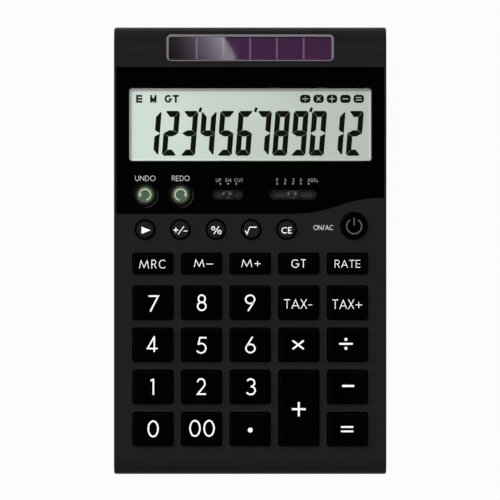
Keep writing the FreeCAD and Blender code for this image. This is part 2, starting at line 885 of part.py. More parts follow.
floor_length = floor_y(body_length)
bay_y = floor_y(window_u)
cell_low = wall + seat_gap / 2
cell_high = cell_low + cell_thickness
cup_inner = cell_diameter + 2 * running_gap
cap_diameter = cup_inner + 2 * cap_rim
lug_diameter = cap_diameter + 2 * cap_lug_reach
bay_inner = lug_diameter + 2 * running_gap
bay_outer = bay_inner + 2 * bay_wall
bay_roof = cell_high + contact_room
bay_top = bay_roof + bay_roof_thickness
top_contact_x = cell_diameter / 2 - contact_width / 2
side_contact_x = cup_inner / 2 + cap_rim
FEET = []
for side in (-1, 1):
    for foot_y in (foot_end_inset, floor_length - foot_end_inset):
        FEET.append((side * (body_width / 2 - foot_side_inset), foot_y))


def lug_pair(grow, turn, low, high):
    """Two lugs on opposite sides of the battery cap, or the notches that let them in."""
    reach = ring(lug_diameter + 2 * grow, cap_diameter - 2 * cap_rim, bay_x, bay_y, low, high)
    half = cap_lug_width / 2 + grow
    across = block(bay_x - lug_diameter, bay_x + lug_diameter, bay_y - half, bay_y + half, low, high)
    pair = reach.common(across)
    pair.rotate(Vector(bay_x, bay_y, 0), Vector(0, 0, 1), turn)
    return pair


def battery_cap():
    """Round cap flush with the floor: a coin slot below, a cup for the cell and two lugs above."""
    cap = disc(cap_diameter, bay_x, bay_y, seat_gap, wall)
    cup = ring(cap_diameter, cup_inner, bay_x, bay_y, wall, wall + cap_cup_height)
    lug_low = wall + seat_gap
    lugs = lug_pair(0, 0, lug_low, lug_low + cap_lug_thickness)
    lugs = lugs.cut(disc(cup_inner, bay_x, bay_y, wall, wall + cap_cup_height))
    half_slot = coin_slot_width / 2
    slot_reach = cell_diameter / 2 - cap_rim
    slot = block(
        bay_x - slot_reach, bay_x + slot_reach, bay_y - half_slot, bay_y + half_slot,
        seat_gap, coin_slot_depth,
    )
    return cap.fuse([cup, lugs]).removeSplitter().cut(slot)


def coin_cell():
    """Coin cell in the cap's cup."""
    cell = disc(cell_diameter, bay_x, bay_y, cell_low, cell_high)
    rims = [edge for edge in cell.Edges if edge.BoundBox.ZLength < seat_gap]
    return cell.makeFillet(running_gap, rims)


def battery_contact_top():
    """Spring contact under the bay's roof that presses on the cell's flat face."""
    level = bay_roof - contact_thickness / 2
    touch = cell_high + seat_gap / 2 + contact_thickness / 2
    half = cell_diameter / 2
    strip = sheet_strip([
        (top_contact_x, bay_top + contact_tail),
        (top_contact_x, level),
        (half / 4, level),
        (-half / 4, touch),
        (-half / 2, touch + contact_room / 3),
    ], contact_thickness, contact_width)
    strip.translate(Vector(bay_x, bay_y, 0))
    return strip


def battery_contact_side():
    """Spring contact down the bay's wall that presses on the cell's rim."""
    touch = cell_diameter / 2 + seat_gap + contact_thickness / 2
    strip = sheet_strip([
        (side_contact_x, bay_top + contact_tail),
        (side_contact_x, cell_high),
        (touch, cell_high - cell_thickness / 3),
    ], contact_thickness, contact_width)
    strip.rotate(Vector(0, 0, 0), Vector(0, 0, 1), 180)
    strip.translate(Vector(bay_x, bay_y, 0))
    return strip


def bottom_case():
    """Lower shell: wedge tray, lip inside the seam, screw wells, battery bay, feet seats and label place."""
    shell = OUTER.common(band_along_seam(-far, -seam / 2)).cut(CAVITY)
    lip = body_form(LIP_FACE).common(band_along_seam(-lip_height, lip_height)).cut(CAVITY)
    wells = []
    bores = []
    for x, u in BOSSES:
        wells.append(disc(well_diameter, x, u, floor_level(u) - wall, board_top - seat_gap).common(OUTER))
        bores.append(disc(screw_diameter + 2 * seat_gap, x, u, floor_level(u) - wall, board_top))
        bores.append(disc(screw_head + 2 * seat_gap, x, u, floor_level(u) - wall, screw_seat))
    shell = stand(shell.fuse([lip] + wells).cut(bores))
    bay = ring(bay_outer, bay_inner, bay_x, bay_y, wall, bay_top)
    roof = disc(bay_outer, bay_x, bay_y, bay_roof, bay_top)
    cuts = [
        disc(cap_diameter + 2 * seat_gap, bay_x, bay_y, 0, wall),
        lug_pair(running_gap, cap_turn, 0, wall),
        block(-label_width / 2, label_width / 2, floor_y(memory_u) - label_length / 2,
              floor_y(memory_u) + label_length / 2, 0, label_depth),
    ]
    half = contact_width / 2 + seat_gap
    for x in (bay_x + top_contact_x, bay_x - side_contact_x):
        reach = contact_thickness / 2 + seat_gap
        cuts.append(block(x - reach, x + reach, bay_y - half, bay_y + half, bay_roof, bay_top))
    for x, y in FEET:
        cuts.append(disc(foot_diameter + 2 * seat_gap, x, y, 0, foot_seat))
    return shell.fuse([bay, roof]).cut(cuts).removeSplitter()


def rubber_feet():
    """Four rubber feet in their seats."""
    feet = []
    for x, y in FEET:
        foot = disc(foot_diameter, x, y, foot_seat - foot_height, foot_seat)
        rim = [edge for edge in foot.Edges if edge.BoundBox.ZMax < 0]
        feet.append(foot.makeFillet(foot_edge, rim))
    return Part.makeCompound(feet)


def lead_wires():
    """Two wires from the solar cell and two from the battery contacts, all to the underside of the board."""
    wires = []
    low = solar_base - solar_half * math.sin(math.radians(solar_tilt)) - 2 * wire_bend - wire_diameter
    landing = board_rear - post_diameter - wire_diameter
    for side in (-1, 1):
        x = side * 2 * wire_diameter
        start = SOLAR_PLANE.multVec(Vector(0, 0, solar_pocket)).z - running_gap
        wires.append(stand(round_wire([
            (x, solar_u, start), (x, solar_u, low), (x, landing, low), (x, landing, board_bottom),
        ], wire_diameter, wire_bend)))
    tail = bay_top + contact_tail
    for x in (bay_x + top_contact_x, bay_x - side_contact_x):
        under_board = DECK_ON_FLOOR.multVec(Vector(0, window_u, board_bottom)).z - seat_gap
        side = 1 if x > bay_x else -1
        middle = (tail + under_board) / 2
        run = 3 * wire_bend
        wires.append(round_wire([
            (x, bay_y, tail), (x, bay_y, middle), (x + side * run, bay_y, middle),
            (x + side * run, bay_y, under_board),
        ], wire_diameter, (under_board - tail) / 2 - running_gap))
    return Part.makeCompound(wires)


# All pieces together

deck_nodes = {"top_case": top_case(), "display_panel": display_panel(), "display_window": display_window()}
lcd_names = ["lcd_front_glass", "lcd_rear_glass", "lcd_reflector", "lcd_connector", "lcd_holder"]
deck_nodes.update(zip(lcd_names, lcd_pieces()))
deck_nodes.update(zip(["solar_frame", "solar_window", "solar_cell"], solar_pieces()))
grid_shapes = {hole: grid_key(hole) for hole in {hole for name, x, u, hole in grid_places()}}
for name, x, u, hole in grid_places():
    deck_nodes[name] = grid_shapes[hole].translated(Vector(x, u, 0))
for name, diameter, rise, x, u in round_places():
    deck_nodes[name] = round_key(diameter, rise).translated(Vector(x, u, 0))
for name, x, steps in SWITCHES:
    deck_nodes[name + "_slider"] = slider(x, steps)
    deck_nodes[name + "_wiper"] = wiper(x)
deck_nodes["rubber_keypad"] = rubber_keypad()
deck_nodes["main_board"] = main_board()
deck_nodes["chip_blob"] = chip_blob()
deck_nodes["capacitor"] = capacitor()
deck_nodes["case_screws"] = case_screws()
deck_nodes["board_screws"] = board_screws()

nodes = {name: stand(shape) for name, shape in deck_nodes.items()}
nodes["bottom_case"] = bottom_case()
nodes["battery_cap"] = battery_cap()
nodes["coin_cell"] = coin_cell()
nodes["battery_contact_top"] = battery_contact_top()
nodes["battery_contact_side"] = battery_contact_side()
nodes["rubber_feet"] = rubber_feet()
nodes["lead_wires"] = lead_wires()

# The part stands on its feet, with its origin under the middle of its outline
shells = Part.makeCompound([nodes["top_case"], nodes["bottom_case"]]).optimalBoundingBox(True)
shift = Vector(0, -(shells.YMin + shells.YMax) / 2, foot_height - foot_seat)

os.makedirs("parts", exist_ok=True)
for name, shape in nodes.items():
    shape.translate(shift)
    shape.exportStep("parts/" + name + ".step")
print(len(nodes), "pieces,", round(body_width, 2), "wide and", round(body_length, 2), "long on the deck")
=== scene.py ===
import json
import math

import bmesh
import bpy
from mathutils import Matrix, Vector
from mathutils.bvhtree import BVHTree

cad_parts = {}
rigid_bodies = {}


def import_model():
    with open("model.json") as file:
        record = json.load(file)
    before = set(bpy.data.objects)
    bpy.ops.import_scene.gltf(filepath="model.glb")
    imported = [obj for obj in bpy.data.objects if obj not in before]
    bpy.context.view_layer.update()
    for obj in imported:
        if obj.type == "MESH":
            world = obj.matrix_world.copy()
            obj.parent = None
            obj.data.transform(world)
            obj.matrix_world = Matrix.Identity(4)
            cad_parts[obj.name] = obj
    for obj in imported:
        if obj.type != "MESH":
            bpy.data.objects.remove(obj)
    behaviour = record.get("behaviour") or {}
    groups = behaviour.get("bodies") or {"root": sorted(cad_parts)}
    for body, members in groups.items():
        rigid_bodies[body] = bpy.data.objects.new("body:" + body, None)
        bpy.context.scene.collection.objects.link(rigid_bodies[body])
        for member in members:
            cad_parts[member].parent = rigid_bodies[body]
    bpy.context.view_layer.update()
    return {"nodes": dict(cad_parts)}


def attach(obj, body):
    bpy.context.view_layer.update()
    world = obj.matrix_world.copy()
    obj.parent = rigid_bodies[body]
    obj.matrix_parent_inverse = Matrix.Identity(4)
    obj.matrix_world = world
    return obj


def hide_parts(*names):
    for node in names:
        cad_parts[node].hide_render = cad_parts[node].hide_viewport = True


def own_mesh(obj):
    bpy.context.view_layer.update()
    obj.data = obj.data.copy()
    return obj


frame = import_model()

MM = 0.001


# Lower case
# The lower shell is a wedge-shaped tray of black styrene. It is moulded in a spark-eroded tool,
# which leaves a fine even grain on its skin, and six screws pull it up against the top case.

def fill(tree, node, sockets):
    """Fills the sockets of a tree's node with values or links."""
    for socket, value in sockets.items():
        if isinstance(value, bpy.types.NodeSocket):
            tree.links.new(value, node.inputs[socket])
        else:
            node.inputs[socket].default_value = value


def add(tree, kind, sockets=None, **settings):
    """Adds a node to a tree, with its settings and what its sockets hold."""
    made = tree.nodes.new(kind)
    for setting, value in settings.items():
        setattr(made, setting, value)
    fill(tree, made, sockets or {})
    return made


def new_material(name):
    """An empty procedural material: its tree, its shader and its place on the piece."""
    material = bpy.data.materials.new(name)
    material.use_nodes = True
    tree = material.node_tree
    return material, tree, tree.nodes["Principled BSDF"], add(tree, "ShaderNodeTexCoord").outputs["Object"]


def clouds(tree, place, scale, detail=2):
    """Soft noise between 0 and 1. A larger scale gives smaller clouds."""
    noise = add(tree, "ShaderNodeTexNoise", {"Vector": place, "Scale": scale, "Detail": detail})
    return noise.outputs["Fac"]


def spread(tree, value, low, high, to_low=0, to_high=1, **settings):
    """A value's range spread over another range, and held at the ends of it."""
    made = add(tree, "ShaderNodeMapRange", {
        "Value": value, "From Min": low, "From Max": high, "To Min": to_low, "To Max": to_high,
    }, **settings)
    return made.outputs["Result"]


def maths(tree, operation, *values, kind="ShaderNodeMath"):
    """The number that an operation on values or links gives."""
    return add(tree, kind, dict(enumerate(values)), operation=operation).outputs["Value"]


def shade_between(tree, factor, dark, light):
    """A colour that runs from one shade to the other with the factor."""
    ramp = add(tree, "ShaderNodeValToRGB", {"Fac": factor})
    for element, colour in zip(ramp.color_ramp.elements, (dark, light)):
        element.color = (*colour, 1)
    return ramp.outputs["Color"]


def mottled(tree, factor, colour, darkest, lightest):
    """A colour between a darker and a lighter share of itself."""
    shades = [[channel * share for channel in colour] for share in (darkest, lightest)]
    return shade_between(tree, factor, *shades)


def relief(tree, shader, height, depth, strength=1):
    """Gives a shader's surface a fine relief of this depth."""
    bump = add(tree, "ShaderNodeBump", {"Height": height, "Distance": depth, "Strength": strength})
    tree.links.new(bump.outputs["Normal"], shader.inputs["Normal"])


def moulded_plastic(name, colour, roughness, grain=0.25 * MM, depth=0.01 * MM, mottling=0.12, shine=0.5):
    """Moulded plastic: slightly uneven in shade and shine, with the grain that the tool's skin leaves."""
    material, tree, shader, place = new_material(name)
    shade = mottled(tree, clouds(tree, place, 55, 4), colour, 1 - mottling, 1 + mottling)
    patches = spread(tree, clouds(tree, place, 260, 5), 0.3, 0.7, roughness * 0.92, roughness * 1.08)
    fill(tree, shader, {"Base Color": shade, "Roughness": patches, "Specular IOR Level": shine})
    relief(tree, shader, clouds(tree, place, 1 / grain), depth, 0.5)
    return material


def dress(material, *nodes):
    """Gives a finish to nodes of the frame."""
    for name in nodes:
        frame["nodes"][name].material_slots[0].material = material


case_colour = (0.0118, 0.0118, 0.0119)
case_plastic = moulded_plastic("grained_case_plastic", case_colour, 0.28, shine=0.015)
dress(case_plastic, "bottom_case")


# Feet, screws and battery cap
# Four moulded rubber discs sit in seats under the tray. The screws are zinc-plated steel with pan heads, and
# a plain moulded cap with a coin slot closes the round battery bay.

scratch = 0.15 * MM


def plated_metal(name, colour, roughness):
    """Rolled or turned metal: drawn-out scratches change its shine, and its plating is a little cloudy."""
    material, tree, shader, place = new_material(name)
    plating = mottled(tree, clouds(tree, place, 120, 3), colour, 0.85, 1.1)
    drawn = add(tree, "ShaderNodeMapping", {"Vector": place, "Scale": (0.05, 1, 1)})
    scratches = clouds(tree, drawn.outputs["Vector"], 1 / scratch, 3)
    dull = spread(tree, scratches, 0.3, 0.7, roughness * 0.7, roughness * 1.3)
    fill(tree, shader, {"Base Color": plating, "Roughness": dull, "Metallic": 1})
    return material


rubber = moulded_plastic("foot_rubber", (0.011, 0.011, 0.011), 0.75, 0.4 * MM, 0.02 * MM, 0.25, 0.3)
zinc_steel = plated_metal("zinc_plated_steel", (0.62, 0.62, 0.63), 0.3)
dress(rubber, "rubber_feet")
dress(zinc_steel, "case_screws", "board_screws")
dress(moulded_plastic("cap_plastic", (0.006, 0.006, 0.006), 0.42), "battery_cap")


# Battery and its contacts
# A 20 mm coin cell in a can of nickel-plated steel. Two bent strips of spring brass hold it in its bay, one
# at its side and one on top of it.

dress(plated_metal("nickel_cell_can", (0.66, 0.64, 0.6), 0.22), "coin_cell")
dress(plated_metal("spring_brass", (0.75, 0.55, 0.22), 0.32), "battery_contact_top", "battery_contact_side")


# Circuit board and what is on it
# The board is brown paper laminate under green lacquer. A drop of black resin covers the chip,
# the buffer capacitor is a sleeved can, and four covered leads run to the solar cell and the battery.

laminate, laminate_tree, laminate_shader, laminate_place = new_material("lacquered_laminate")
track_pitch = 2.5 * MM
tracks = add(laminate_tree, "ShaderNodeTexBrick", {
    "Vector": laminate_place, "Scale": 1 / track_pitch, "Mortar Size": 0.12, "Mortar Smooth": 0.3,
    "Color1": (0.02, 0.10, 0.03, 1), "Color2": (0.03, 0.13, 0.04, 1), "Mortar": (0.10, 0.25, 0.06, 1),
}, offset=0.37)
fill(laminate_tree, laminate_shader, {"Base Color": tracks.outputs["Color"], "Roughness": 0.4})
relief(laminate_tree, laminate_shader, tracks.outputs["Fac"], 0.03 * MM)
dress(laminate, "main_board")
dress(moulded_plastic("chip_resin", (0.008, 0.008, 0.009), 0.35, 2 * MM, 0.05 * MM), "chip_blob")
dress(moulded_plastic("can_sleeve", (0.02, 0.025, 0.07), 0.35), "capacitor")
dress(moulded_plastic("lead_cover", (0.32, 0.02, 0.02), 0.45), "lead_wires")


# Slide contacts
# The two sliding contacts under the switch knobs are bent from brass strip and pressed onto the knobs, which
# take them along over the board.

dress(plated_metal("wiper_brass", (0.75, 0.55, 0.22), 0.3), "rounding_wiper", "decimal_wiper")


# Display glass
# Two glass plates with the liquid crystal between them lie on a pale reflector. A dull grey-green polarising
# film on the front glass gives the display its colour, and painted shade darkens it towards the right.

deck_tilt = math.radians(5.5)
ACROSS = Vector((1, 0, 0))


def slope(tilt):
    """Directions along and out of a plane that rises to the rear."""
    return Vector((0, math.cos(tilt), math.sin(tilt))), Vector((0, -math.sin(tilt), math.cos(tilt)))


ALONG, OUT = slope(deck_tilt)


def on_deck(x, u, n):
    """The place at a distance across, along and out of the sloping deck."""
    return ACROSS * x + ALONG * u + OUT * n


def middle_of(node, along=ALONG, out=OUT):
    """Middle of a node across and along the deck or another slope, and the level of its top."""
    spots = [(v.co.x, v.co.dot(along), v.co.dot(out)) for v in frame["nodes"][node].data.vertices]
    low, high = [[pick(column) for column in zip(*spots)] for pick in (min, max)]
    return (low[0] + high[0]) / 2, (low[1] + high[1]) / 2, high[2]


glass_half = 50 * MM


def crystal_film(name, left_colour, right_colour):
    """Dull film over the crystal, with painted shade from left to right, faint clouds and a fine grain."""
    material, tree, shader, place = new_material(name)
    side = add(tree, "ShaderNodeSeparateXYZ", {"Vector": place})
    run = spread(tree, side.outputs["X"], -glass_half, glass_half)
    clouded_run = maths(tree, "MULTIPLY_ADD", clouds(tree, place, 35), 0.3, run)
    share = spread(tree, clouded_run, 0.1, 1.05)
    colour = shade_between(tree, share, left_colour, right_colour)
    fill(tree, shader, {"Base Color": colour, "Roughness": 0.55, "Specular IOR Level": 0.3})
    relief(tree, shader, clouds(tree, place, 6000), 0.004 * MM)
    return material


# The film is painted lighter at its left end and darker at its right end, as shade.
film = crystal_film("display_film", (0.622, 0.710, 0.660), (0.451, 0.486, 0.438))
dress(film, "lcd_front_glass", "lcd_rear_glass", "lcd_reflector")
dress(moulded_plastic("holder_plastic", (0.6, 0.6, 0.58), 0.5), "lcd_holder")
dress(rubber, "lcd_connector")


# Display digits
# Twelve slanted digits of seven segments each, switched to near black by the liquid crystal. They are as
# thin as the crystal, so each is a film on the front glass, with hairline gaps between its segments.

display_level = middle_of("lcd_front_glass")[2]
window_u = middle_of("display_window")[1]
crystal = 0.03 * MM
digit_width = 6.0 * MM
digit_height = 18.0 * MM
digit_pitch = 7.356 * MM
digit_slant = math.tan(math.radians(4.4))
digit_corner = 0.8 * MM
segment_across = 2.15 * MM
segment_up = 2.5 * MM
segment_gap = 0.06 * MM
digits_left = -42.75 * MM
digits_low = -12.45 * MM
LIT = {
    "0": "abcdef", "1": "bc", "2": "abdeg", "3": "abcdg", "4": "bcfg",
    "5": "acdfg", "6": "acdefg", "7": "abc", "8": "abcdefg", "9": "abcdfg",
}


def as_mesh(name, shape):
    """A plain mesh of a shape that is done."""
    mesh = bpy.data.meshes.new(name)
    shape.to_mesh(mesh)
    shape.free()
    return mesh


def slab(points, low, high, lean):
    """A flat piece parallel to the deck, its outline given anticlockwise and leaning by the slant."""
    shape = bmesh.new()
    rims = []
    for level in (low, high):
        rims.append([shape.verts.new(on_deck(x + y * lean, y, level)) for x, y in points])
    shape.faces.new(rims[0][::-1])
    shape.faces.new(rims[1])
    for index in range(len(points)):
        after = (index + 1) % len(points)
        shape.faces.new((rims[0][index], rims[0][after], rims[1][after], rims[1][index]))
    return as_mesh("slab", shape)


def drawn_in(points, inset):
    """A convex outline given anticlockwise, with every side moved inwards."""
    sides = []
    for start, end in zip(points, points[1:] + points[:1]):
        along = (Vector(end) - Vector(start)).normalized()
        inward = Vector((-along.y, along.x))
        sides.append((Vector(start) + inward * inset, along))
    corners = []
    for (a, along_a), (b, along_b) in zip(sides[-1:] + sides[:-1], sides):
        reach = (b - a).cross(along_b) / along_a.cross(along_b)
        corners.append(tuple(a + along_a * reach))
    return corners


def segment_outlines():
    """Outlines of the seven segments, which meet on the diagonals of the digit's corners."""
    right, top, middle = digit_width, digit_height, digit_height / 2
    half = segment_up / 2
    inner_right = right - segment_across
    cut = digit_corner
    upper = [
        (segment_across, top - segment_up), (inner_right, top - segment_up), (right - cut / 2, top - cut / 2),
        (right - cut, top), (cut, top), (cut / 2, top - cut / 2),
    ]
    upper_right = [
        (inner_right, middle + half), (right, middle), (right, top - cut), (right - cut / 2, top - cut / 2),
        (inner_right, top - segment_up),
    ]
    centre = [
        (0, middle), (segment_across, middle - half), (inner_right, middle - half),
        (right, middle), (inner_right, middle + half), (segment_across, middle + half),
    ]

    def turned(outline):
        return [(right - x, top - y) for x, y in outline]

    def mirrored(outline):
        return [(right - x, y) for x, y in outline][::-1]

    return {
        "a": upper, "b": upper_right, "c": mirrored(turned(upper_right)), "d": turned(upper),
        "e": turned(upper_right), "f": mirrored(upper_right), "g": centre,
    }


def new_tree(name, *sockets):
    """A node tree with named inputs and one output: the tree, its inputs and its output node."""
    tree = bpy.data.node_groups.new(name, "GeometryNodeTree")
    tree.interface.new_socket("Result", in_out="OUTPUT", socket_type="NodeSocketGeometry")
    tree.interface.new_socket("Places", in_out="INPUT", socket_type="NodeSocketGeometry")
    for label, kind in sockets:
        tree.interface.new_socket(label, in_out="INPUT", socket_type="NodeSocket" + kind)
    return tree, tree.nodes.new("NodeGroupInput").outputs, tree.nodes.new("NodeGroupOutput")


def end_tree(tree, inputs, result, shape, finish, stance):
    """Stands a shape on the tree's places, as plain faces with their material."""
    row = add(tree, "GeometryNodeInstanceOnPoints", {"Points": inputs["Places"], "Instance": shape, **stance})
    real = add(tree, "GeometryNodeRealizeInstances", {"Geometry": row.outputs["Instances"]})
    painted = add(tree, "GeometryNodeSetMaterial", {
        "Geometry": real.outputs["Geometry"], "Material": inputs[finish],
    })
    fill(tree, result, {"Result": painted.outputs["Geometry"]})


def link_piece(name, mesh):
    """Puts a mesh in the scene as a piece at the origin."""
    piece = bpy.data.objects.new(name, mesh)
    bpy.context.scene.collection.objects.link(piece)
    return piece


def grow(name, tree, places, settings, choice=None):
    """Runs a tree on places, each with its choice of shape, and keeps the result as a plain mesh."""
    seeds = bpy.data.meshes.new(name)
    seeds.from_pydata(places, [], [])
    if choice:
        seeds.attributes.new("choice", "INT", "POINT").data.foreach_set("value", choice)
    piece = link_piece(name, seeds)
    modifier = piece.modifiers.new(tree.name, "NODES")
    modifier.node_group = tree
    for item in tree.interface.items_tree:
        if item.name in settings:
            modifier[item.identifier] = settings[item.name]
    evaluated = piece.evaluated_get(bpy.context.evaluated_depsgraph_get())
    piece.data = bpy.data.meshes.new_from_object(evaluated)
    piece.modifiers.clear()
    return piece


segment_ink, ink_tree, ink_shader, ink_place = new_material("switched_crystal")
ink_clouds = clouds(ink_tree, ink_place, 90, 3)
ink_colour = shade_between(ink_tree, ink_clouds, (0.002, 0.004, 0.002), (0.006, 0.005, 0.003))
fill(ink_tree, ink_shader, {"Base Color": ink_colour, "Roughness": 0.6, "Specular IOR Level": 0.05})

segments_tree, segments_in, segments_out = new_tree(
    "lit_segments", ("Segment shapes", "Collection"), ("Crystal", "Material"),
)
shapes = add(segments_tree, "GeometryNodeCollectionInfo", {
    "Collection": segments_in["Segment shapes"], "Separate Children": True, "Reset Children": True,
})
chosen = add(segments_tree, "GeometryNodeInputNamedAttribute", {"Name": "choice"}, data_type="INT")
end_tree(segments_tree, segments_in, segments_out, shapes.outputs["Instances"], "Crystal", {
    "Pick Instance": True, "Instance Index": chosen.outputs["Attribute"],
})

segment_shapes = bpy.data.collections.new("segment_shapes")
for letter, outline in segment_outlines().items():
    mesh = slab(drawn_in(outline, segment_gap / 2), 0, crystal, digit_slant)
    segment_shapes.objects.link(bpy.data.objects.new("segment_" + letter, mesh))
segment_places, segment_choice = [], []
for index, digit in enumerate("123456789012"):
    place = on_deck(digits_left + index * digit_pitch, window_u + digits_low, display_level)
    for letter in LIT[digit]:
        segment_places.append(place)
        segment_choice.append("abcdefg".index(letter))
digits = grow("display_digits", segments_tree, segment_places,
              {"Segment shapes": segment_shapes, "Crystal": segment_ink}, segment_choice)
for source in list(segment_shapes.objects):
    bpy.data.objects.remove(source)
bpy.data.collections.remove(segment_shapes)
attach(digits, "base")


# Display signs
# Small signs above the digits: letters for error, memory and grand total on the left, and on the right five
# operators, each light on a dark tile. After every third digit stands a slanted thousands mark.

arc_step = 12


def arc(x, y, across, up, start, end):
    """Points along an elliptical arc, in degrees from the right, anticlockwise where the end is larger."""
    steps = max(4, round(abs(end - start) / arc_step))
    turns = [math.radians(start + (end - start) * step / steps) for step in range(steps + 1)]
    return [(x + across * math.cos(turn), y + up * math.sin(turn)) for turn in turns]


def ring(x, y, across, up):
    """A closed oval."""
    points = arc(x, y, across, up, 90, 450)
    return points[:-1] + points[:1]


# Pen strokes of the signs, as shares of their height.
PEN = 0.095
BASE, CAP = PEN / 2, 1 - PEN / 2
TALL = CAP - 0.5
six = [(0.478, 1)] + arc(0.36, 0.3, 0.25, 0.3 - BASE, 150, 510)
bowl = [(BASE, CAP), (0.3, CAP)] + arc(0.3, CAP - 0.23, 0.22, 0.23, 90, -90) + [(BASE, CAP - 0.46)]
stem = [(BASE, 0), (BASE, 1)]
GLYPHS = {
    "0": [ring(0.365, 0.5, 0.29, TALL)],
    "1": [[(0.225, 0), (0.225, 1)], [(0, 0.87), (0.2, 0.94)]],
    "2": [arc(0.33, CAP - 0.27, 0.265, 0.27, 165, -38) + [(0.09, BASE), (0.68, BASE)]],
    "3": [arc(0.31, 0.73, 0.205, CAP - 0.73, 150, -90), arc(0.31, 0.28, 0.235, 0.28 - BASE, 90, -152)],
    "4": [[(0.5, 0.95), (0.1, 0.22), (0.72, 0.22)], [(0.51, 0), (0.51, 1)]],
    "5": [[(0.66, CAP), (0.27, CAP), (0.18, 0.53)], arc(0.34, 0.33, 0.275, 0.33 - BASE, 128, -150)],
    "6": [six],
    "7": [[(0, CAP), (0.575, CAP), (0.1, 0)]],
    "8": [ring(0.33, 0.73, 0.2, CAP - 0.73), ring(0.33, 0.29, 0.243, 0.29 - BASE)],
    "9": [[(0.72 - x, 1 - y) for x, y in six]],
    "A": [[(0.05, 0), (0.4, 0.94), (0.75, 0)], [(0.17, 0.32), (0.63, 0.32)]],
    "C": [arc(0.46, 0.5, 0.43, TALL, 48, 312)],
    "D": [[(BASE, BASE), (BASE, CAP), (0.26, CAP)] + arc(0.26, 0.5, 0.4, TALL, 84, -90) + [(BASE, BASE)]],
    "E": [stem, [(PEN, CAP), (0.52, CAP)], [(PEN, 0.5), (0.48, 0.5)], [(PEN, BASE), (0.52, BASE)]],
    "F": [stem, [(PEN, CAP), (0.5, CAP)], [(PEN, 0.5), (0.46, 0.5)]],
    "G": [arc(0.46, 0.5, 0.43, TALL, 45, 355) + [(0.52, 0.463)]],
    "M": [[(0.07, 0), (0.25, 0.9), (0.615, 0.1), (0.98, 0.9), (1.16, 0)]],
    "N": [[(BASE, 0), (BASE, 0.92), (0.7, 0.08), (0.7, 1)]],
    "O": [ring(0.5, 0.5, 0.43, TALL)],
    "P": [stem, bowl],
    "R": [stem, bowl, [(0.3, CAP - 0.46), (0.56, 0)]],
    "T": [[(0, CAP), (0.58, CAP)], [(0.29, 0), (0.29, 1 - PEN)]],
    "U": [[(BASE, 1)] + arc(0.36, 0.35, 0.285, 0.35 - BASE, 180, 360) + [(0.645, 1)]],
    "X": [[(0.06, 0), (0.6, 1)], [(0.06, 1), (0.6, 0)]],
    "/": [[(0, -0.03), (0.36, 1.03)]],
    "+": [[(0, 0.42), (0.66, 0.42)], [(0.33, 0.09), (0.33, 0.75)]],
    "-": [[(0, 0.4), (0.36, 0.4)]],
    "_": [[(0, 0.38), (0.78, 0.38)]],
}
LETTER_GAP = 0.16


def line_of_text(text, height, width, gap=LETTER_GAP):
    """Pen strokes of a line of text, set to its height and width and centred on its middle."""
    strokes, place = [], 0
    for sign in text:
        glyph = GLYPHS[sign]
        sides = [x for stroke in glyph for x, y in stroke]
        for stroke in glyph:
            strokes.append([(place + x - min(sides), y - 0.5) for x, y in stroke])
        place += max(sides) - min(sides) + PEN + gap
    length = place - PEN - gap
    stretch = (width - PEN * height) / length
    return [[((x - length / 2) * stretch, y * height) for x, y in stroke] for stroke in strokes]


pen_step = 0.7 * MM
mitre_limit = 0.4


def pen_edges(stroke, width):
    """Left and right edge of a pen stroke, divided finely and mitred at its corners."""
    closed = stroke[0] == stroke[-1]
    fine = []
    for start, end in zip(stroke, stroke[1:]):
        run = Vector(end) - Vector(start)
        parts = max(1, math.ceil(run.length / pen_step))
        fine += [Vector(start) + run * part / parts for part in range(parts)]
    if not closed:
        fine.append(Vector(stroke[-1]))
    edges = []
    for index, point in enumerate(fine):
        before = fine[index - 1] if index or closed else None
        after = fine[(index + 1) % len(fine)] if index + 1 < len(fine) or closed else None
        arriving = (point - before if before else after - point).normalized()
        leaving = (after - point if after else point - before).normalized()
        side = Vector((-(arriving + leaving).y, (arriving + leaving).x)).normalized()
        reach = width / 2 / max(mitre_limit, side.dot(Vector((-arriving.y, arriving.x))))
        edges.append((point + side * reach, point - side * reach))
    return edges, closed


def print_on(name, carrier, x, u, lines, width, material, fills=(), ink=0.03 * MM):
    """Prints pen strokes and filled outlines on a node's outer face, round a place on the deck."""
    surface = BVHTree.FromObject(frame["nodes"][carrier], bpy.context.evaluated_depsgraph_get())
    shape = bmesh.new()
    above = 50 * MM
    layer_rise = 0.1

    def ink_column(spot, level):
        """Foot and top of the ink at a spot. The foot is sunk in the face, so that no gap shows."""
        under = surface.ray_cast(on_deck(x + spot[0], u + spot[1], above), -OUT)[0]
        return shape.verts.new(under - OUT * ink), shape.verts.new(under + OUT * level)

    for index, line in enumerate(lines):
        level = ink * (1 + layer_rise * index)
        edges, closed = pen_edges(line, width)
        rows = [ink_column(left, level) + ink_column(right, level) for left, right in edges]
        for row, after in zip(rows, rows[1:] + (rows[:1] if closed else [])):
            shape.faces.new((row[1], row[3], after[3], after[1]))
            shape.faces.new((row[0], after[0], after[2], row[2]))
            shape.faces.new((row[0], row[1], after[1], after[0]))
            shape.faces.new((row[2], after[2], after[3], row[3]))
        if not closed:
            for row in (rows[0], rows[-1]):
                shape.faces.new((row[0], row[2], row[3], row[1]))
    for outline in fills:
        columns = [ink_column(spot, ink) for spot in outline]
        shape.faces.new([top for foot, top in columns])
        shape.faces.new([foot for foot, top in columns][::-1])
        for column, after in zip(columns, columns[1:] + columns[:1]):
            shape.faces.new((column[0], after[0], after[1], column[1]))
    bmesh.ops.recalc_face_normals(shape, faces=shape.faces)
    mesh = as_mesh(name, shape)
    mesh.materials.append(material)
    return link_piece(name, mesh)


def moved(lines, x, y):
    """Pen strokes moved across and along."""
    return [[(x + spot[0], y + spot[1]) for spot in line] for line in lines]


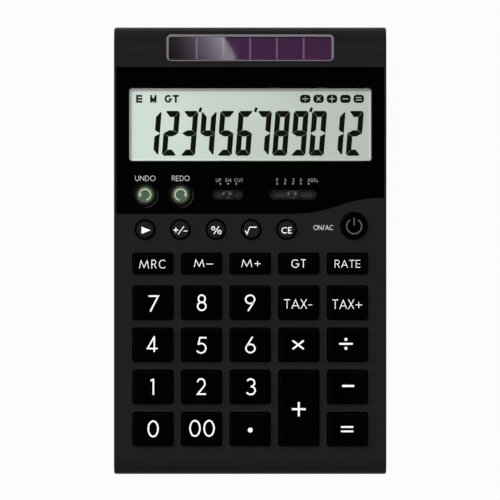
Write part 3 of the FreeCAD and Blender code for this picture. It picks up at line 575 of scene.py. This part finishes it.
signs_u = window_u + 10.35 * MM
sign_height = 3.1 * MM
sign_pen = 0.75 * MM
sign_half = sign_height / 2
sign_reach = (sign_height - sign_pen) / 2
arm = 1.05 * MM
leg = 0.9 * MM
letter_e = [
    [(arm, sign_reach), (-arm, sign_reach), (-arm, -sign_reach), (arm, -sign_reach)], [(-arm, 0), (arm, 0)],
]
letter_m = [
    [(-leg, -sign_half), (-leg, sign_half)], [(leg, -sign_half), (leg, sign_half)],
    [(-leg, 0.75 * sign_reach), (0, -0.8 * sign_reach), (leg, 0.75 * sign_reach)],
]
letter_g = [
    arc(0, 0, 1.1 * MM, sign_reach, 45, 325), [(0.15 * MM, -0.2 * MM), (1.45 * MM, -0.2 * MM)],
]
letter_t = [[(-1.2 * MM, sign_reach), (1.2 * MM, sign_reach)], [(0, sign_reach), (0, -sign_half)]]
sign_letters = ((letter_e, -44.2), (letter_m, -38.75), (letter_g, -32.75), (letter_t, -29.75))
letter_lines = []
for lines, place in sign_letters:
    letter_lines += moved(lines, place * MM, 0)
signs = print_on("display_signs", "lcd_front_glass", 0, signs_u, letter_lines, sign_pen, segment_ink)
mark_pen = 1.05 * MM
mark_lines = []
for place in (-19.9, 2.3, 24.4):
    mark_lines.append([((place - 0.35) * MM, -5.3 * MM), ((place + 0.3) * MM, -3.5 * MM)])
marks = print_on("display_marks", "lcd_front_glass", 0, signs_u, mark_lines, mark_pen, segment_ink)

tile_width, tile_height = 4.2 * MM, 3.3 * MM
tile_corner = 1.3 * MM
tile_pitch = 5.355 * MM
tile_steps = range(-2, 3)
tiles_middle = 32.75 * MM
weld = 0.001 * MM
tiles_tree, tiles_in, tiles_out = new_tree(
    "operator_tiles", ("Width", "Float"), ("Height", "Float"), ("Corner", "Float"), ("Thickness", "Float"),
    ("Tilt", "Vector"), ("Crystal", "Material"),
)
tile = add(tiles_tree, "GeometryNodeCurvePrimitiveQuadrilateral", {
    "Width": tiles_in["Width"], "Height": tiles_in["Height"],
})
round_tile = add(tiles_tree, "GeometryNodeFilletCurve", {
    "Curve": tile.outputs["Curve"], "Radius": tiles_in["Corner"], "Count": 6,
}, mode="POLY")
tile_face = add(tiles_tree, "GeometryNodeFillCurve", {"Curve": round_tile.outputs["Curve"]}, mode="NGONS")
tile_body = add(tiles_tree, "GeometryNodeExtrudeMesh", {
    "Mesh": tile_face.outputs["Mesh"], "Offset Scale": tiles_in["Thickness"],
})
tile_foot = add(tiles_tree, "GeometryNodeFlipFaces", {"Mesh": tile_face.outputs["Mesh"]})
tile_whole = add(tiles_tree, "GeometryNodeJoinGeometry")
tiles_tree.links.new(tile_body.outputs["Mesh"], tile_whole.inputs["Geometry"])
tiles_tree.links.new(tile_foot.outputs["Mesh"], tile_whole.inputs["Geometry"])
tile_closed = add(tiles_tree, "GeometryNodeMergeByDistance", {
    "Geometry": tile_whole.outputs["Geometry"], "Distance": weld,
})
end_tree(tiles_tree, tiles_in, tiles_out, tile_closed.outputs["Geometry"], "Crystal", {
    "Rotation": tiles_in["Tilt"],
})
tile_places = [on_deck(tiles_middle + step * tile_pitch, signs_u, display_level) for step in tile_steps]
tiles = grow("display_tiles", tiles_tree, tile_places, {
    "Width": tile_width, "Height": tile_height, "Corner": tile_corner, "Thickness": crystal,
    "Tilt": (deck_tilt, 0, 0), "Crystal": segment_ink,
})

operator_pen = 0.3 * MM
bar_half = 1.15 * MM
cross_half = 0.8 * MM
dot_half, dot_rise = 0.2 * MM, 0.75 * MM
twin_rise = 0.5 * MM
flat_bar = [(-bar_half, 0), (bar_half, 0)]
up_bar = [(0, -bar_half), (0, bar_half)]
crossed = [[(-cross_half, -side * cross_half), (cross_half, side * cross_half)] for side in (1, -1)]
divide_dots = [[(-dot_half, side * dot_rise), (dot_half, side * dot_rise)] for side in (-1, 1)]
twin_bars = moved([flat_bar], 0, twin_rise) + moved([flat_bar], 0, -twin_rise)
tile_signs = ([flat_bar] + divide_dots, crossed, [flat_bar, up_bar], [flat_bar], twin_bars)
operator_lines = []
for step, lines in zip(tile_steps, tile_signs):
    operator_lines += moved(lines, step * tile_pitch, 0)
operators = print_on("display_operators", "lcd_front_glass", tiles_middle, signs_u, operator_lines,
                     operator_pen, film, ink=2 * crystal)
for piece in (signs, marks, tiles, operators):
    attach(piece, "base")


# Display border
# The film ends just inside the window. A grey strip of painted shade lies above and to the left of it,
# and a paler strip of painted light below and to the right.

border_pen = 1.6 * MM
film_left, film_right = -47.45 * MM, 47.38 * MM
film_low, film_high = -13.68 * MM, 13.34 * MM
border_half = border_pen / 2
painted_shade_path = [
    (film_right + border_half, film_high + border_half), (film_left - border_half, film_high + border_half),
    (film_left - border_half, film_low - border_half),
]
painted_light_path = [
    (film_left, film_low - border_half), (film_right + border_half, film_low - border_half),
    (film_right + border_half, film_high),
]
# The grey strip is painted shade and the pale strip painted light, each darker towards the right.
for name, path, left_colour, right_colour in (
    ("grey_border", painted_shade_path, (0.46, 0.465, 0.446), (0.309, 0.333, 0.30)),
    ("pale_border", painted_light_path, (0.74, 0.83, 0.775), (0.51, 0.54, 0.49)),
):
    edge_film = crystal_film(name + "_film", left_colour, right_colour)
    border = print_on(name, "lcd_front_glass", 0, window_u, [path], border_pen, edge_film)
    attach(border, "base")


# Rubber dome sheet
# One sheet of grey silicone is moulded with a dome under every key, and lies on the board. A pressed key
# takes the crown of its dome along, while the skirt between the crown and the sheet stays in place.

silicone = moulded_plastic("silicone_sheet", (0.20, 0.21, 0.22), 0.55, 0.3 * MM, 0.01 * MM, 0.15)
dome_height = 2.6 * MM
skirt_height = 2.0 * MM
dome_reach = 4.3 * MM
cut_lift = 0.01 * MM
domes_level = middle_of("rubber_keypad")[2]
skirt_foot = domes_level - dome_height + cut_lift
crown_foot = domes_level - dome_height + skirt_height
whole_sheet = bmesh.new()
whole_sheet.from_mesh(frame["nodes"]["rubber_keypad"].data)
bmesh.ops.remove_doubles(whole_sheet, verts=whole_sheet.verts, dist=weld)


def off_axis(place, axis):
    """Distance of a place from a key's axis."""
    return Vector((place.x - axis[0], place.dot(ALONG) - axis[1])).length


def layer_of_rubber(name, low, high, axis=None):
    """The rubber between two levels, of the whole sheet or round a key's axis, with its cut faces closed."""
    shape = whole_sheet.copy()
    if axis:
        far = [face for face in shape.faces if off_axis(face.calc_center_median(), axis) > dome_reach]
        bmesh.ops.delete(shape, geom=far, context="FACES")
    for level, above in ((low, True), (high, False)):
        if level:
            everything = shape.verts[:] + shape.edges[:] + shape.faces[:]
            cut = bmesh.ops.bisect_plane(shape, geom=everything, plane_co=OUT * level, plane_no=OUT,
                                         clear_inner=above, clear_outer=not above)
            rims = [edge for edge in cut["geom_cut"] if isinstance(edge, bmesh.types.BMEdge)]
            bmesh.ops.triangle_fill(shape, edges=rims, use_beauty=True)
    bmesh.ops.recalc_face_normals(shape, faces=shape.faces)
    mesh = as_mesh(name, shape)
    mesh.materials.append(silicone)
    return link_piece(name, mesh)


rubber_sheet = layer_of_rubber("rubber_sheet", None, skirt_foot)
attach(rubber_sheet, "base")
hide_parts("rubber_keypad")
for key in [node for node in frame["nodes"] if node.startswith("key_")]:
    x, u = middle_of(key)[:2]
    skirt = layer_of_rubber("skirt_under_" + key, skirt_foot, crown_foot, (x, u))
    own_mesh(skirt)
    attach(skirt, "base")
    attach(layer_of_rubber("crown_under_" + key, crown_foot, None, (x, u)), key + "_body")
whole_sheet.free()


# Top case
# The upper shell carries the deck. It comes from the same grained tool and plastic as the tray, and its
# front and rear edges are rolled over. The groove round each small round key holds a ring of painted shade.

dress(case_plastic, "top_case")
panel_proud = 0.2 * MM
deck_level = middle_of("display_panel")[2] - panel_proud
groove_bore = 7.2 * MM
groove_width = 0.65 * MM
groove_depth = 0.9 * MM
# A thin black film ring on the floor of each groove is painted shade, making the groove look dark.
shade_film_thickness = 0.06 * MM
groove_shade_black = (0.0008, 0.0008, 0.0008)
groove_painted_shade = moulded_plastic("groove_painted_shade", groove_shade_black, 0.4, 1 * MM, 0.01 * MM, 0.2, 0.1)
groove_tree, groove_in, groove_out = new_tree(
    "groove_rings", ("Middle radius", "Float"), ("Width", "Float"), ("Film", "Float"),
    ("Tilt", "Vector"), ("Painted shade", "Material"),
)
groove_path = add(groove_tree, "GeometryNodeCurvePrimitiveCircle", {
    "Radius": groove_in["Middle radius"], "Resolution": 64,
})
groove_section = add(groove_tree, "GeometryNodeCurvePrimitiveQuadrilateral", {
    "Width": groove_in["Width"], "Height": groove_in["Film"],
})
groove_ring = add(groove_tree, "GeometryNodeCurveToMesh", {
    "Curve": groove_path.outputs["Curve"], "Profile Curve": groove_section.outputs["Curve"],
})
end_tree(groove_tree, groove_in, groove_out, groove_ring.outputs["Mesh"], "Painted shade", {
    "Rotation": groove_in["Tilt"],
})
function_keys = ["key_shift", "key_sign", "key_percent", "key_root", "key_clear_entry"]
groove_places = []
for key in function_keys:
    x, u = middle_of(key)[:2]
    groove_places.append(on_deck(x, u, deck_level - groove_depth))
grooves = grow("groove_rings", groove_tree, groove_places, {
    "Middle radius": (groove_bore + groove_width) / 2, "Width": groove_width, "Film": shade_film_thickness,
    "Tilt": (deck_tilt, 0, 0), "Painted shade": groove_painted_shade,
})
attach(grooves, "base")


# Rectangular keys
# Hollow caps of black plastic from a polished tool, with a shallow dish across the top and a rounded rim.
# Their signs are printed in white with a round geometric pen, and follow the dish.

def printed_ink(name, colour, roughness=0.5):
    """Screen-printed ink: nearly even, with the fine mottling that the screen leaves."""
    material, tree, shader, place = new_material(name)
    screen_marks = clouds(tree, place, 2500)
    shade = mottled(tree, screen_marks, colour, 0.95, 1.03)
    fill(tree, shader, {"Base Color": shade, "Roughness": roughness, "Specular IOR Level": 0.3})
    relief(tree, shader, screen_marks, 0.005 * MM, 0.4)
    return material


def print_sign(key, lines, pen, ink, fills=()):
    """Prints a sign on the middle of a key's top, as a piece that rides on the key."""
    x, u = middle_of(key)[:2]
    legend = print_on("sign_of_" + key, key, x, u, lines, pen, ink, fills)
    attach(legend, key + "_body")


key_black = (0.0003, 0.0003, 0.0003)
key_plastic = moulded_plastic("polished_key_plastic", key_black, 0.25, 0.6 * MM, 0.002 * MM, 0.2, 0.04)
white_ink = printed_ink("white_ink", (0.9, 0.9, 0.9))
# Each word, its height and width, and how far it lies right and up from the key's middle, in millimetres.
KEY_WORDS = {
    "key_7": ("7", 6.5, 4.5, 0.2, -0.3), "key_8": ("8", 6.7, 3.9, 0.1, 0), "key_9": ("9", 6.6, 4.2, 0, 0),
    "key_4": ("4", 6.3, 4.7, -0.1, 0.3), "key_5": ("5", 6.7, 4.5, 0.1, -0.2),
    "key_6": ("6", 6.6, 4.2, 0.1, -0.1), "key_1": ("1", 6.5, 1.8, -0.4, 0.1),
    "key_2": ("2", 6.7, 4.1, 0.1, 0.2), "key_3": ("3", 6.8, 4.0, 0.3, 0.1),
    "key_0": ("0", 6.8, 4.5, 0.1, 0.1), "key_00": ("00", 6.8, 10.2, 0.2, 0.3),
    "key_memory_recall": ("MRC", 3.5, 10.7, -0.2, -0.2), "key_memory_minus": ("M_", 3.2, 7.9, 0.9, 0.2),
    "key_memory_plus": ("M+", 3.2, 7.9, 0.4, 0.2), "key_grand_total": ("GT", 3.4, 5.9, 0, 0),
    "key_rate": ("RATE", 3.1, 10.4, 0.1, -0.1), "key_tax_minus": ("TAX-", 3.8, 11.6, -0.3, -0.5),
    "key_tax_plus": ("TAX+", 3.8, 12.3, -0.1, -0.6),
}
# Words of three or more signs have gaps of their own and a finer pen.
letter_gaps = {"MRC": 0.26, "RATE": 0.09, "TAX-": 0.06, "TAX+": 0.06}
fine_pen = 0.85
for key, (word, height, width, right, up) in KEY_WORDS.items():
    strokes = line_of_text(word, height * MM, width * MM, letter_gaps.get(word, LETTER_GAP))
    pen = PEN * height * MM * (fine_pen if word in letter_gaps else 1)
    print_sign(key, moved(strokes, right * MM, up * MM), pen, white_ink)


def dot(x, y, radius):
    """Outline of a round dot, in millimetres, which its last side closes."""
    return arc(x * MM, y * MM, radius * MM, radius * MM, 0, 345)


def bar(x, y, across, up):
    """A straight stroke through a place, from one end to the other in millimetres."""
    return [((x - across / 2) * MM, (y - up / 2) * MM), ((x + across / 2) * MM, (y + up / 2) * MM)]


divide_ends = [dot(-0.6, 0.4 + side * 1.8, 0.62) for side in (-1, 1)]
key_operators = {
    "key_plus": ([bar(0, -0.45, 5.6, 0), bar(0, -0.45, 0, 5.7)], 0.8 * MM, []),
    "key_minus": ([bar(0.3, 0.4, 4.8, 0)], 0.85 * MM, []),
    "key_times": ([bar(-0.25, 0, 4.4, 3.42), bar(-0.25, 0, 4.4, -3.42)], 0.72 * MM, []),
    "key_divide": ([bar(-0.6, 0.4, 5.5, 0)], 0.75 * MM, divide_ends),
    "key_equals": ([bar(-0.1, 0.85, 5.0, 0), bar(-0.1, -0.9, 5.0, 0)], 0.7 * MM, []),
    "key_point": ([], 0.75 * MM, [dot(0.05, -0.4, 0.97)]),
}
for key, (lines, pen, fills) in key_operators.items():
    print_sign(key, lines, pen, white_ink, fills)
dress(key_plastic, *KEY_WORDS, *key_operators)


# Small round keys and power key
# Five solid round caps in the deck's own grained plastic, with white signs, and a larger polished black cap
# with a grey power sign. The word beside it is printed on the deck.

dress(case_plastic, *function_keys)
dress(key_plastic, "key_power")
triangle = [(-1.45 * MM, -1.75 * MM), (2.2 * MM, -0.3 * MM), (-1.45 * MM, 1.15 * MM)]
plus_minus = [
    bar(-1.85, -0.2, 2.0, 0), bar(-1.85, -0.2, 0, 2.0), bar(0.2, -0.3, 2.3, 3.1), bar(2.0, -0.6, 1.5, 0),
]
percent = [
    ring(-1.05 * MM, 0.5 * MM, 0.62 * MM, 0.66 * MM), ring(1.45 * MM, -1.0 * MM, 0.62 * MM, 0.66 * MM),
    bar(0.2, -0.25, 2.0, 3.1),
]
root = [[(-2.4 * MM, -0.4 * MM), (-1.7 * MM, -1.75 * MM), (-0.65 * MM, 0.95 * MM), (2.2 * MM, 0.95 * MM)]]
clear_letters = moved(line_of_text("CE", 2.45 * MM, 4.1 * MM), 0.05 * MM, -0.3 * MM)
round_signs = {
    "key_shift": ([], 0.5 * MM, [triangle]),
    "key_sign": (plus_minus, 0.36 * MM, []),
    "key_percent": (percent, 0.36 * MM, []),
    "key_root": (root, 0.38 * MM, []),
    "key_clear_entry": (clear_letters, 0.36 * MM, []),
}
for key, (lines, pen, fills) in round_signs.items():
    print_sign(key, lines, pen, white_ink, fills)

grey_ink = printed_ink("grey_ink", (0.085, 0.085, 0.085))
pale_ink = printed_ink("pale_ink", (0.55, 0.55, 0.55))
power_x, power_u = middle_of("key_power")[:2]
power_radius = 3.0 * MM
power_pen = 0.48 * MM
power_sign = [arc(0, 0, power_radius, power_radius, 122, 418), bar(0, 1.85, 0, 3.1)]
power_place = (power_x + 0.1 * MM, power_u - 0.2 * MM)
power_legend = print_on("sign_of_key_power", "key_power", *power_place, power_sign, power_pen, grey_ink)
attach(power_legend, "key_power_body")
power_letters = line_of_text("ON/AC", 2.0 * MM, 7.9 * MM)
power_word_pen = 0.24 * MM
power_word_place = (power_x - 12.2 * MM, power_u - 0.7 * MM)
power_word = print_on("power_word", "top_case", *power_word_place, power_letters, power_word_pen, pale_ink)
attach(power_word, "base")


# Display panel
# A sheet of acrylic, painted black behind and polished in front, set into the deck, with openings for the
# display, two keys and two switches. The words over the keys and switches are printed in thin white.

gloss_panel, panel_tree, panel_shader, panel_place = new_material("gloss_panel_acrylic")
panel_clouds = clouds(panel_tree, panel_place, 45, 4)
panel_black = shade_between(panel_tree, panel_clouds, (0.0002, 0.0002, 0.0002), (0.0004, 0.0004, 0.0004))
panel_wipes = spread(panel_tree, panel_clouds, 0.35, 0.65, 0.04, 0.09)
fill(panel_tree, panel_shader, {"Base Color": panel_black, "Roughness": panel_wipes})
relief(panel_tree, panel_shader, clouds(panel_tree, panel_place, 90), 0.004 * MM, 0.3)
dress(gloss_panel, "display_panel")

word_height, word_aside, word_rise, word_pen = 2.15 * MM, 0.05 * MM, 6.55 * MM, 0.19 * MM
word_lines = []
for key, word, width in (("key_undo", "UNDO", 8.2), ("key_redo", "REDO", 7.1)):
    x, u = middle_of(key)[:2]
    word_lines += moved(line_of_text(word, word_height, width * MM), x + word_aside, u + word_rise)

# Each label of a switch, its width and how far it lies right of its dot, in millimetres.
rounding_labels = (("UP", 2.1, -0.75), ("5/4", 2.6, 0), ("CUT", 3.6, 1.05))
decimal_labels = (("F", 0.8, 0.1), ("3", 0.9, 0), ("2", 0.9, 0.25), ("0", 0.8, 0.1), ("ADD", 3.5, 1.3))
switch_step = 3.15
switch_dot_rise, switch_dot_radius = 4.35, 0.3
label_height, label_rise, label_gap, label_pen = 1.4 * MM, 5.8 * MM, 0.2, 0.13 * MM
small_height, small_width, small_aside, small_rise = 0.75 * MM, 0.5 * MM, 3.55, 5.35 * MM
label_lines, switch_dots = [], []
for slider, shift, labels in (
    ("rounding_slider", 0.25, rounding_labels), ("decimal_slider", 0, decimal_labels),
):
    x, u = middle_of(slider)[:2]
    for index, (label, width, aside) in enumerate(labels):
        place = shift + (index - (len(labels) - 1) / 2) * switch_step
        strokes = line_of_text(label, label_height, width * MM, label_gap)
        label_lines += moved(strokes, x + (place + aside) * MM, u + label_rise)
        switch_dots += moved([dot(place, switch_dot_rise, switch_dot_radius)], x, u)
        if label == "ADD":
            small_two = line_of_text("2", small_height, small_width)
            label_lines += moved(small_two, x + (place + small_aside) * MM, u + small_rise)
dull_ink = printed_ink("dull_ink", (0.33, 0.33, 0.33))
words = print_on("panel_words", "display_panel", 0, 0, word_lines, word_pen, pale_ink)
small_words = print_on("switch_words", "display_panel", 0, 0, label_lines, label_pen, dull_ink, switch_dots)
for piece in (words, small_words):
    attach(piece, "base")


# Display window
# A plate of clear acrylic let into the deck under the panel. It is polished on both sides, but only its outer
# surface reflects here, so that the display stands clear behind it.

acrylic_ior = 1.49


def blend_shaders(tree, share, first, second):
    """Makes a material of two shaders, of which the second has this share."""
    mix = add(tree, "ShaderNodeMixShader", {0: share, 1: first.outputs[0], 2: second.outputs[0]})
    fill(tree, tree.nodes["Material Output"], {"Surface": mix.outputs["Shader"]})


def clear_sheet(name, tint, roughness):
    """Polished clear plastic: see-through, with the reflection that its outer surface gives at each angle."""
    material, tree, shader, place = new_material(name)
    wipes = spread(tree, clouds(tree, place, 70, 3), 0.35, 0.65, roughness * 0.5, roughness * 1.5)
    gloss = add(tree, "ShaderNodeBsdfGlossy", {"Color": (1, 1, 1, 1), "Roughness": wipes})
    through = add(tree, "ShaderNodeBsdfTransparent", {"Color": (*tint, 1)})
    bounce = add(tree, "ShaderNodeFresnel", {"IOR": acrylic_ior})
    inside = add(tree, "ShaderNodeNewGeometry").outputs["Backfacing"]
    outside = maths(tree, "SUBTRACT", 1, inside)
    outer_bounce = maths(tree, "MULTIPLY", bounce.outputs["Fac"], outside)
    blend_shaders(tree, outer_bounce, through, gloss)
    tree.nodes.remove(shader)
    return material


dress(clear_sheet("clear_acrylic", (0.985, 0.99, 0.985), 0.03), "display_window")


# Round keys on the panel
# Two small caps of tinted plastic, grey in the middle and at the rim, and greener between. Each has a pale
# green arrow printed on its top, which turns back or forward.

green_ink = printed_ink("green_ink", (0.38, 0.55, 0.30))
cap_colour = (0.08, 0.1, 0.08)
cap_reach = 3.2 * MM
middle_tint, rim_tint = (0.075, 0.085, 0.08, 1), (0.085, 0.095, 0.08, 1)
ring_tints = ((0.35, (0.07, 0.09, 0.07, 1)), (0.62, (0.045, 0.10, 0.035, 1)), (0.82, (0.06, 0.10, 0.05, 1)))
arrow_radius = 2.2 * MM
arrow_pen = 0.5 * MM
arrow_head = ((-0.9, 0.25), (-0.1, -1.1), (0.45, 0.25))
for key, side in (("key_undo", -1), ("key_redo", 1)):
    tinted_plastic = moulded_plastic(key + "_plastic", cap_colour, 0.35, 0.5 * MM, 0.003 * MM, 0.15, 0.2)
    tint_tree = tinted_plastic.node_tree
    tint_place = add(tint_tree, "ShaderNodeTexCoord").outputs["Object"]
    key_middle = tuple(on_deck(*middle_of(key)))
    from_middle = maths(tint_tree, "DISTANCE", tint_place, key_middle, kind="ShaderNodeVectorMath")
    tint_run = spread(tint_tree, from_middle, 0, cap_reach)
    tint = add(tint_tree, "ShaderNodeValToRGB", {"Fac": tint_run})
    tint.color_ramp.elements[0].color = middle_tint
    tint.color_ramp.elements[1].color = rim_tint
    for spot, colour in ring_tints:
        tint.color_ramp.elements.new(spot).color = colour
    fill(tint_tree, tint_tree.nodes["Principled BSDF"], {"Base Color": tint.outputs["Color"]})
    dress(tinted_plastic, key)
    sweep = [(-side * across, up) for across, up in arc(0, 0, arrow_radius, arrow_radius, -78, 172)]
    head = [(side * (arrow_radius + reach * MM), up * MM) for reach, up in arrow_head]
    print_sign(key, [sweep], arrow_pen, green_ink, [head[::side]])


# Slide switches
# Two small knobs of black plastic from a polished tool, each with a pair of rounded ridges for the fingertip.
# They slide in the slots of the panel, and their stems carry the contacts below it.

knob_plastic = moulded_plastic("knob_plastic", (0.014, 0.014, 0.014), 0.33, shine=0.9)
dress(knob_plastic, "rounding_slider", "decimal_slider")


# Solar window
# A bead of silver-grey plastic frames a clear window. Behind it lies a glass plate with six purple cells of
# silicon film, parted by paler lines where one cell is joined to the next.

solar_tilt = deck_tilt - math.radians(8)
SOLAR_ALONG, SOLAR_OUT = slope(solar_tilt)
silver_bead = moulded_plastic("silver_bead_plastic", (0.18, 0.155, 0.185), 0.35, 0.3 * MM, 0.003 * MM, 0.1)
silver_bead.node_tree.nodes["Principled BSDF"].inputs["Metallic"].default_value = 0.4
dress(silver_bead, "solar_frame")
dress(clear_sheet("solar_cover", (0.97, 0.96, 0.97), 0.02), "solar_window")

solar_film, solar_tree, solar_shader, solar_place = new_material("silicon_film")
solar_clouds = clouds(solar_tree, solar_place, 28, 4)
solar_purple = shade_between(solar_tree, solar_clouds, (0.029, 0.0095, 0.047), (0.050, 0.0087, 0.039))
solar_side = add(solar_tree, "ShaderNodeSeparateXYZ", {"Vector": solar_place})
brown_end, purple_start = -31 * MM, -12 * MM
solar_run = spread(solar_tree, solar_side.outputs["X"], brown_end, purple_start,
                   interpolation_type="SMOOTHSTEP")
solar_colour = add(solar_tree, "ShaderNodeMix", {
    "Factor": solar_run, "A": (0.004, 0.0012, 0.0010, 1), "B": solar_purple,
}, data_type="RGBA")
solar_dull = spread(solar_tree, clouds(solar_tree, solar_place, 3000), 0, 1, 0.3, 0.45)
fill(solar_tree, solar_shader, {
    "Base Color": solar_colour.outputs["Result"], "Roughness": solar_dull, "Specular IOR Level": 0.1,
})
dress(solar_film, "solar_cell")

cell_u, cell_level = middle_of("solar_cell", SOLAR_ALONG, SOLAR_OUT)[1:]
cell_pitch = 10.7 * MM
divider_steps = range(-2, 3)
divider_size = (0.75 * MM, 9.1 * MM, 0.04 * MM)
divider_film = printed_ink("divider_film", (0.13, 0.085, 0.13), 0.4)
divider_tree, divider_in, divider_out = new_tree(
    "cell_dividers", ("Size", "Vector"), ("Tilt", "Vector"), ("Film", "Material"),
)
divider = add(divider_tree, "GeometryNodeMeshCube", {"Size": divider_in["Size"]})
end_tree(divider_tree, divider_in, divider_out, divider.outputs["Mesh"], "Film", {
    "Rotation": divider_in["Tilt"],
})
divider_places = []
for step in divider_steps:
    divider_places.append(ACROSS * step * cell_pitch + SOLAR_ALONG * cell_u + SOLAR_OUT * cell_level)
dividers = grow("cell_dividers", divider_tree, divider_places, {
    "Size": divider_size, "Tilt": (solar_tilt, 0, 0), "Film": divider_film,
})
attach(dividers, "base")


# Stage
# A plain pale floor under soft studio light: a broad lamp overhead, a smaller one up and to the left, and a
# strip behind the deck that marks its crease. A long lens looks straight down on the deck, and a small card,
# seen only as a reflection, crosses the solar window.

body_x, body_u = middle_of("top_case")[:2]
floor_reach = 4
floor_corners = [(x * floor_reach, y * floor_reach, 0) for x, y in ((-1, -1), (1, -1), (1, 1), (-1, 1))]
floor_mesh = bpy.data.meshes.new("floor")
floor_mesh.from_pydata(floor_corners, [], [(0, 1, 2, 3)])
floor = link_piece("floor", floor_mesh)
floor_paint, floor_tree, floor_shader = new_material("floor_paint")[:3]
fill(floor_tree, floor_shader, {"Base Color": (0.5, 0.5, 0.5, 1), "Roughness": 0.9})
white = add(floor_tree, "ShaderNodeEmission", {"Color": (1, 1, 1, 1), "Strength": 1.0})
white_share = 0.96
# The floor looks white to the camera and in mirrors, and is pale paint to the light, which keeps the shadow.
rays = add(floor_tree, "ShaderNodeLightPath").outputs
seen = maths(floor_tree, "MAXIMUM", rays["Is Camera Ray"], rays["Is Glossy Ray"])
seen_through = maths(floor_tree, "MAXIMUM", seen, rays["Is Transmission Ray"])
seen_white = maths(floor_tree, "MULTIPLY", seen_through, white_share)
blend_shaders(floor_tree, seen_white, floor_shader, white)
floor_mesh.materials.append(floor_paint)

lens = 1500
view_width = 200 * MM
camera_right, camera_ahead = -0.06 * MM, 0.27 * MM
camera_data = bpy.data.cameras.new("camera")
camera_data.lens = lens
camera = link_piece("camera", camera_data)
camera_level = deck_level + view_width * lens / camera_data.sensor_width
camera.location = on_deck(camera_right, body_u + camera_ahead, camera_level)
camera.rotation_euler = OUT.to_track_quat("Z", "Y").to_euler()
bpy.context.scene.camera = camera
bpy.context.scene.view_settings.view_transform = "Standard"


def way_out(off_normal, turn):
    """The way at an angle off the deck's normal, turned from the right towards the rear."""
    aside = ACROSS * math.cos(math.radians(turn)) + ALONG * math.sin(math.radians(turn))
    return OUT * math.cos(math.radians(off_normal)) + aside * math.sin(math.radians(off_normal))


def studio_lamp(name, place, facing, size, watts):
    """A soft lamp at a place, which shines against the way that it faces: a disc, or a card of two sizes."""
    data = bpy.data.lights.new(name, "AREA")
    data.shape = "DISK" if size[0] == size[1] else "RECTANGLE"
    data.size, data.size_y = size
    data.energy = watts
    made = link_piece(name, data)
    made.location = place
    made.rotation_euler = facing.to_track_quat("Z", "Y").to_euler()
    made.visible_camera = False
    return made


# The overhead lamp lights the deck without a mirror image in its gloss.
deck_centre = on_deck(body_x, body_u, deck_level)
lamp_distance = 1.6
for name, lamp_way, size, watts in (
    ("left_lamp", way_out(40, 140), (0.19, 0.19), 4.5),
    ("strip_lamp", way_out(34, 90), (0.8, 0.055), 3),
    ("overhead_lamp", way_out(4, -90), (0.8, 0.8), 18),
):
    lamp = studio_lamp(name, deck_centre + lamp_way * lamp_distance, lamp_way, size, watts)
    lamp.visible_glossy = name != "overhead_lamp"

card_distance = 1.0
card_size = (28 * MM, 60 * MM)
card_watts = 0.034
card_falloff = 2.7
glass_u, glass_level = middle_of("solar_window", SOLAR_ALONG, SOLAR_OUT)[1:]


def mirrored_at(x, along):
    """The place that the camera sees mirrored at a spot of the solar window, and the way to it."""
    spot = ACROSS * x + SOLAR_ALONG * (glass_u + along) + SOLAR_OUT * glass_level
    way = (spot - camera.location).normalized().reflect(SOLAR_OUT)
    return spot + way * card_distance, way


glass_reach = 4.75 * MM
patch_rear, patch_front = -10.5 * MM, -5.3 * MM
edge_rear = mirrored_at(patch_rear, glass_reach)[0]
edge_front, card_way = mirrored_at(patch_front, -glass_reach)
card_up = (edge_rear - edge_front).normalized()
card_right = card_up.cross(card_way).normalized()
card_middle = (edge_rear + edge_front) / 2 - card_right * card_size[0] / 2
card = studio_lamp("window_card", card_middle, card_way, card_size, card_watts)
card.rotation_euler = Matrix((card_right, card_up, card_right.cross(card_up))).transposed().to_euler()
card.data.use_nodes = True
card_tree = card.data.node_tree
card_spot = add(card_tree, "ShaderNodeNewGeometry").outputs["Parametric"]
card_place = add(card_tree, "ShaderNodeSeparateXYZ", {"Vector": card_spot})
card_fade = maths(card_tree, "POWER", card_place.outputs["X"], card_falloff)
fill(card_tree, card_tree.nodes["Emission"], {"Color": (0.89, 0.99, 1, 1), "Strength": card_fade})

# The room is dim overhead, so that the deck stays dark, with a pale wall low on the left.
room = bpy.data.worlds.new("room")
bpy.context.scene.world = room
room.use_nodes = True
room_tree = room.node_tree
room_way = add(room_tree, "ShaderNodeTexCoord").outputs["Generated"]
overhead = maths(room_tree, "DOT_PRODUCT", room_way, tuple(OUT), kind="ShaderNodeVectorMath")
ceiling_edge, ceiling_core = math.cos(math.radians(45)), math.cos(math.radians(25))
edge_light, core_light = 0.05, 0.01
ceiling = spread(room_tree, overhead, ceiling_edge, ceiling_core, edge_light, core_light)
wall_way = tuple(way_out(60, 145))
towards_wall = maths(room_tree, "DOT_PRODUCT", room_way, wall_way, kind="ShaderNodeVectorMath")
wall_edge, wall_core, wall_light = 0.55, 0.95, 1.2
pale_wall = spread(room_tree, towards_wall, wall_edge, wall_core, 0, wall_light,
                   interpolation_type="SMOOTHSTEP")
room_light = maths(room_tree, "ADD", ceiling, pale_wall)
fill(room_tree, room_tree.nodes["Background"], {"Color": (1, 1, 1, 1), "Strength": room_light})
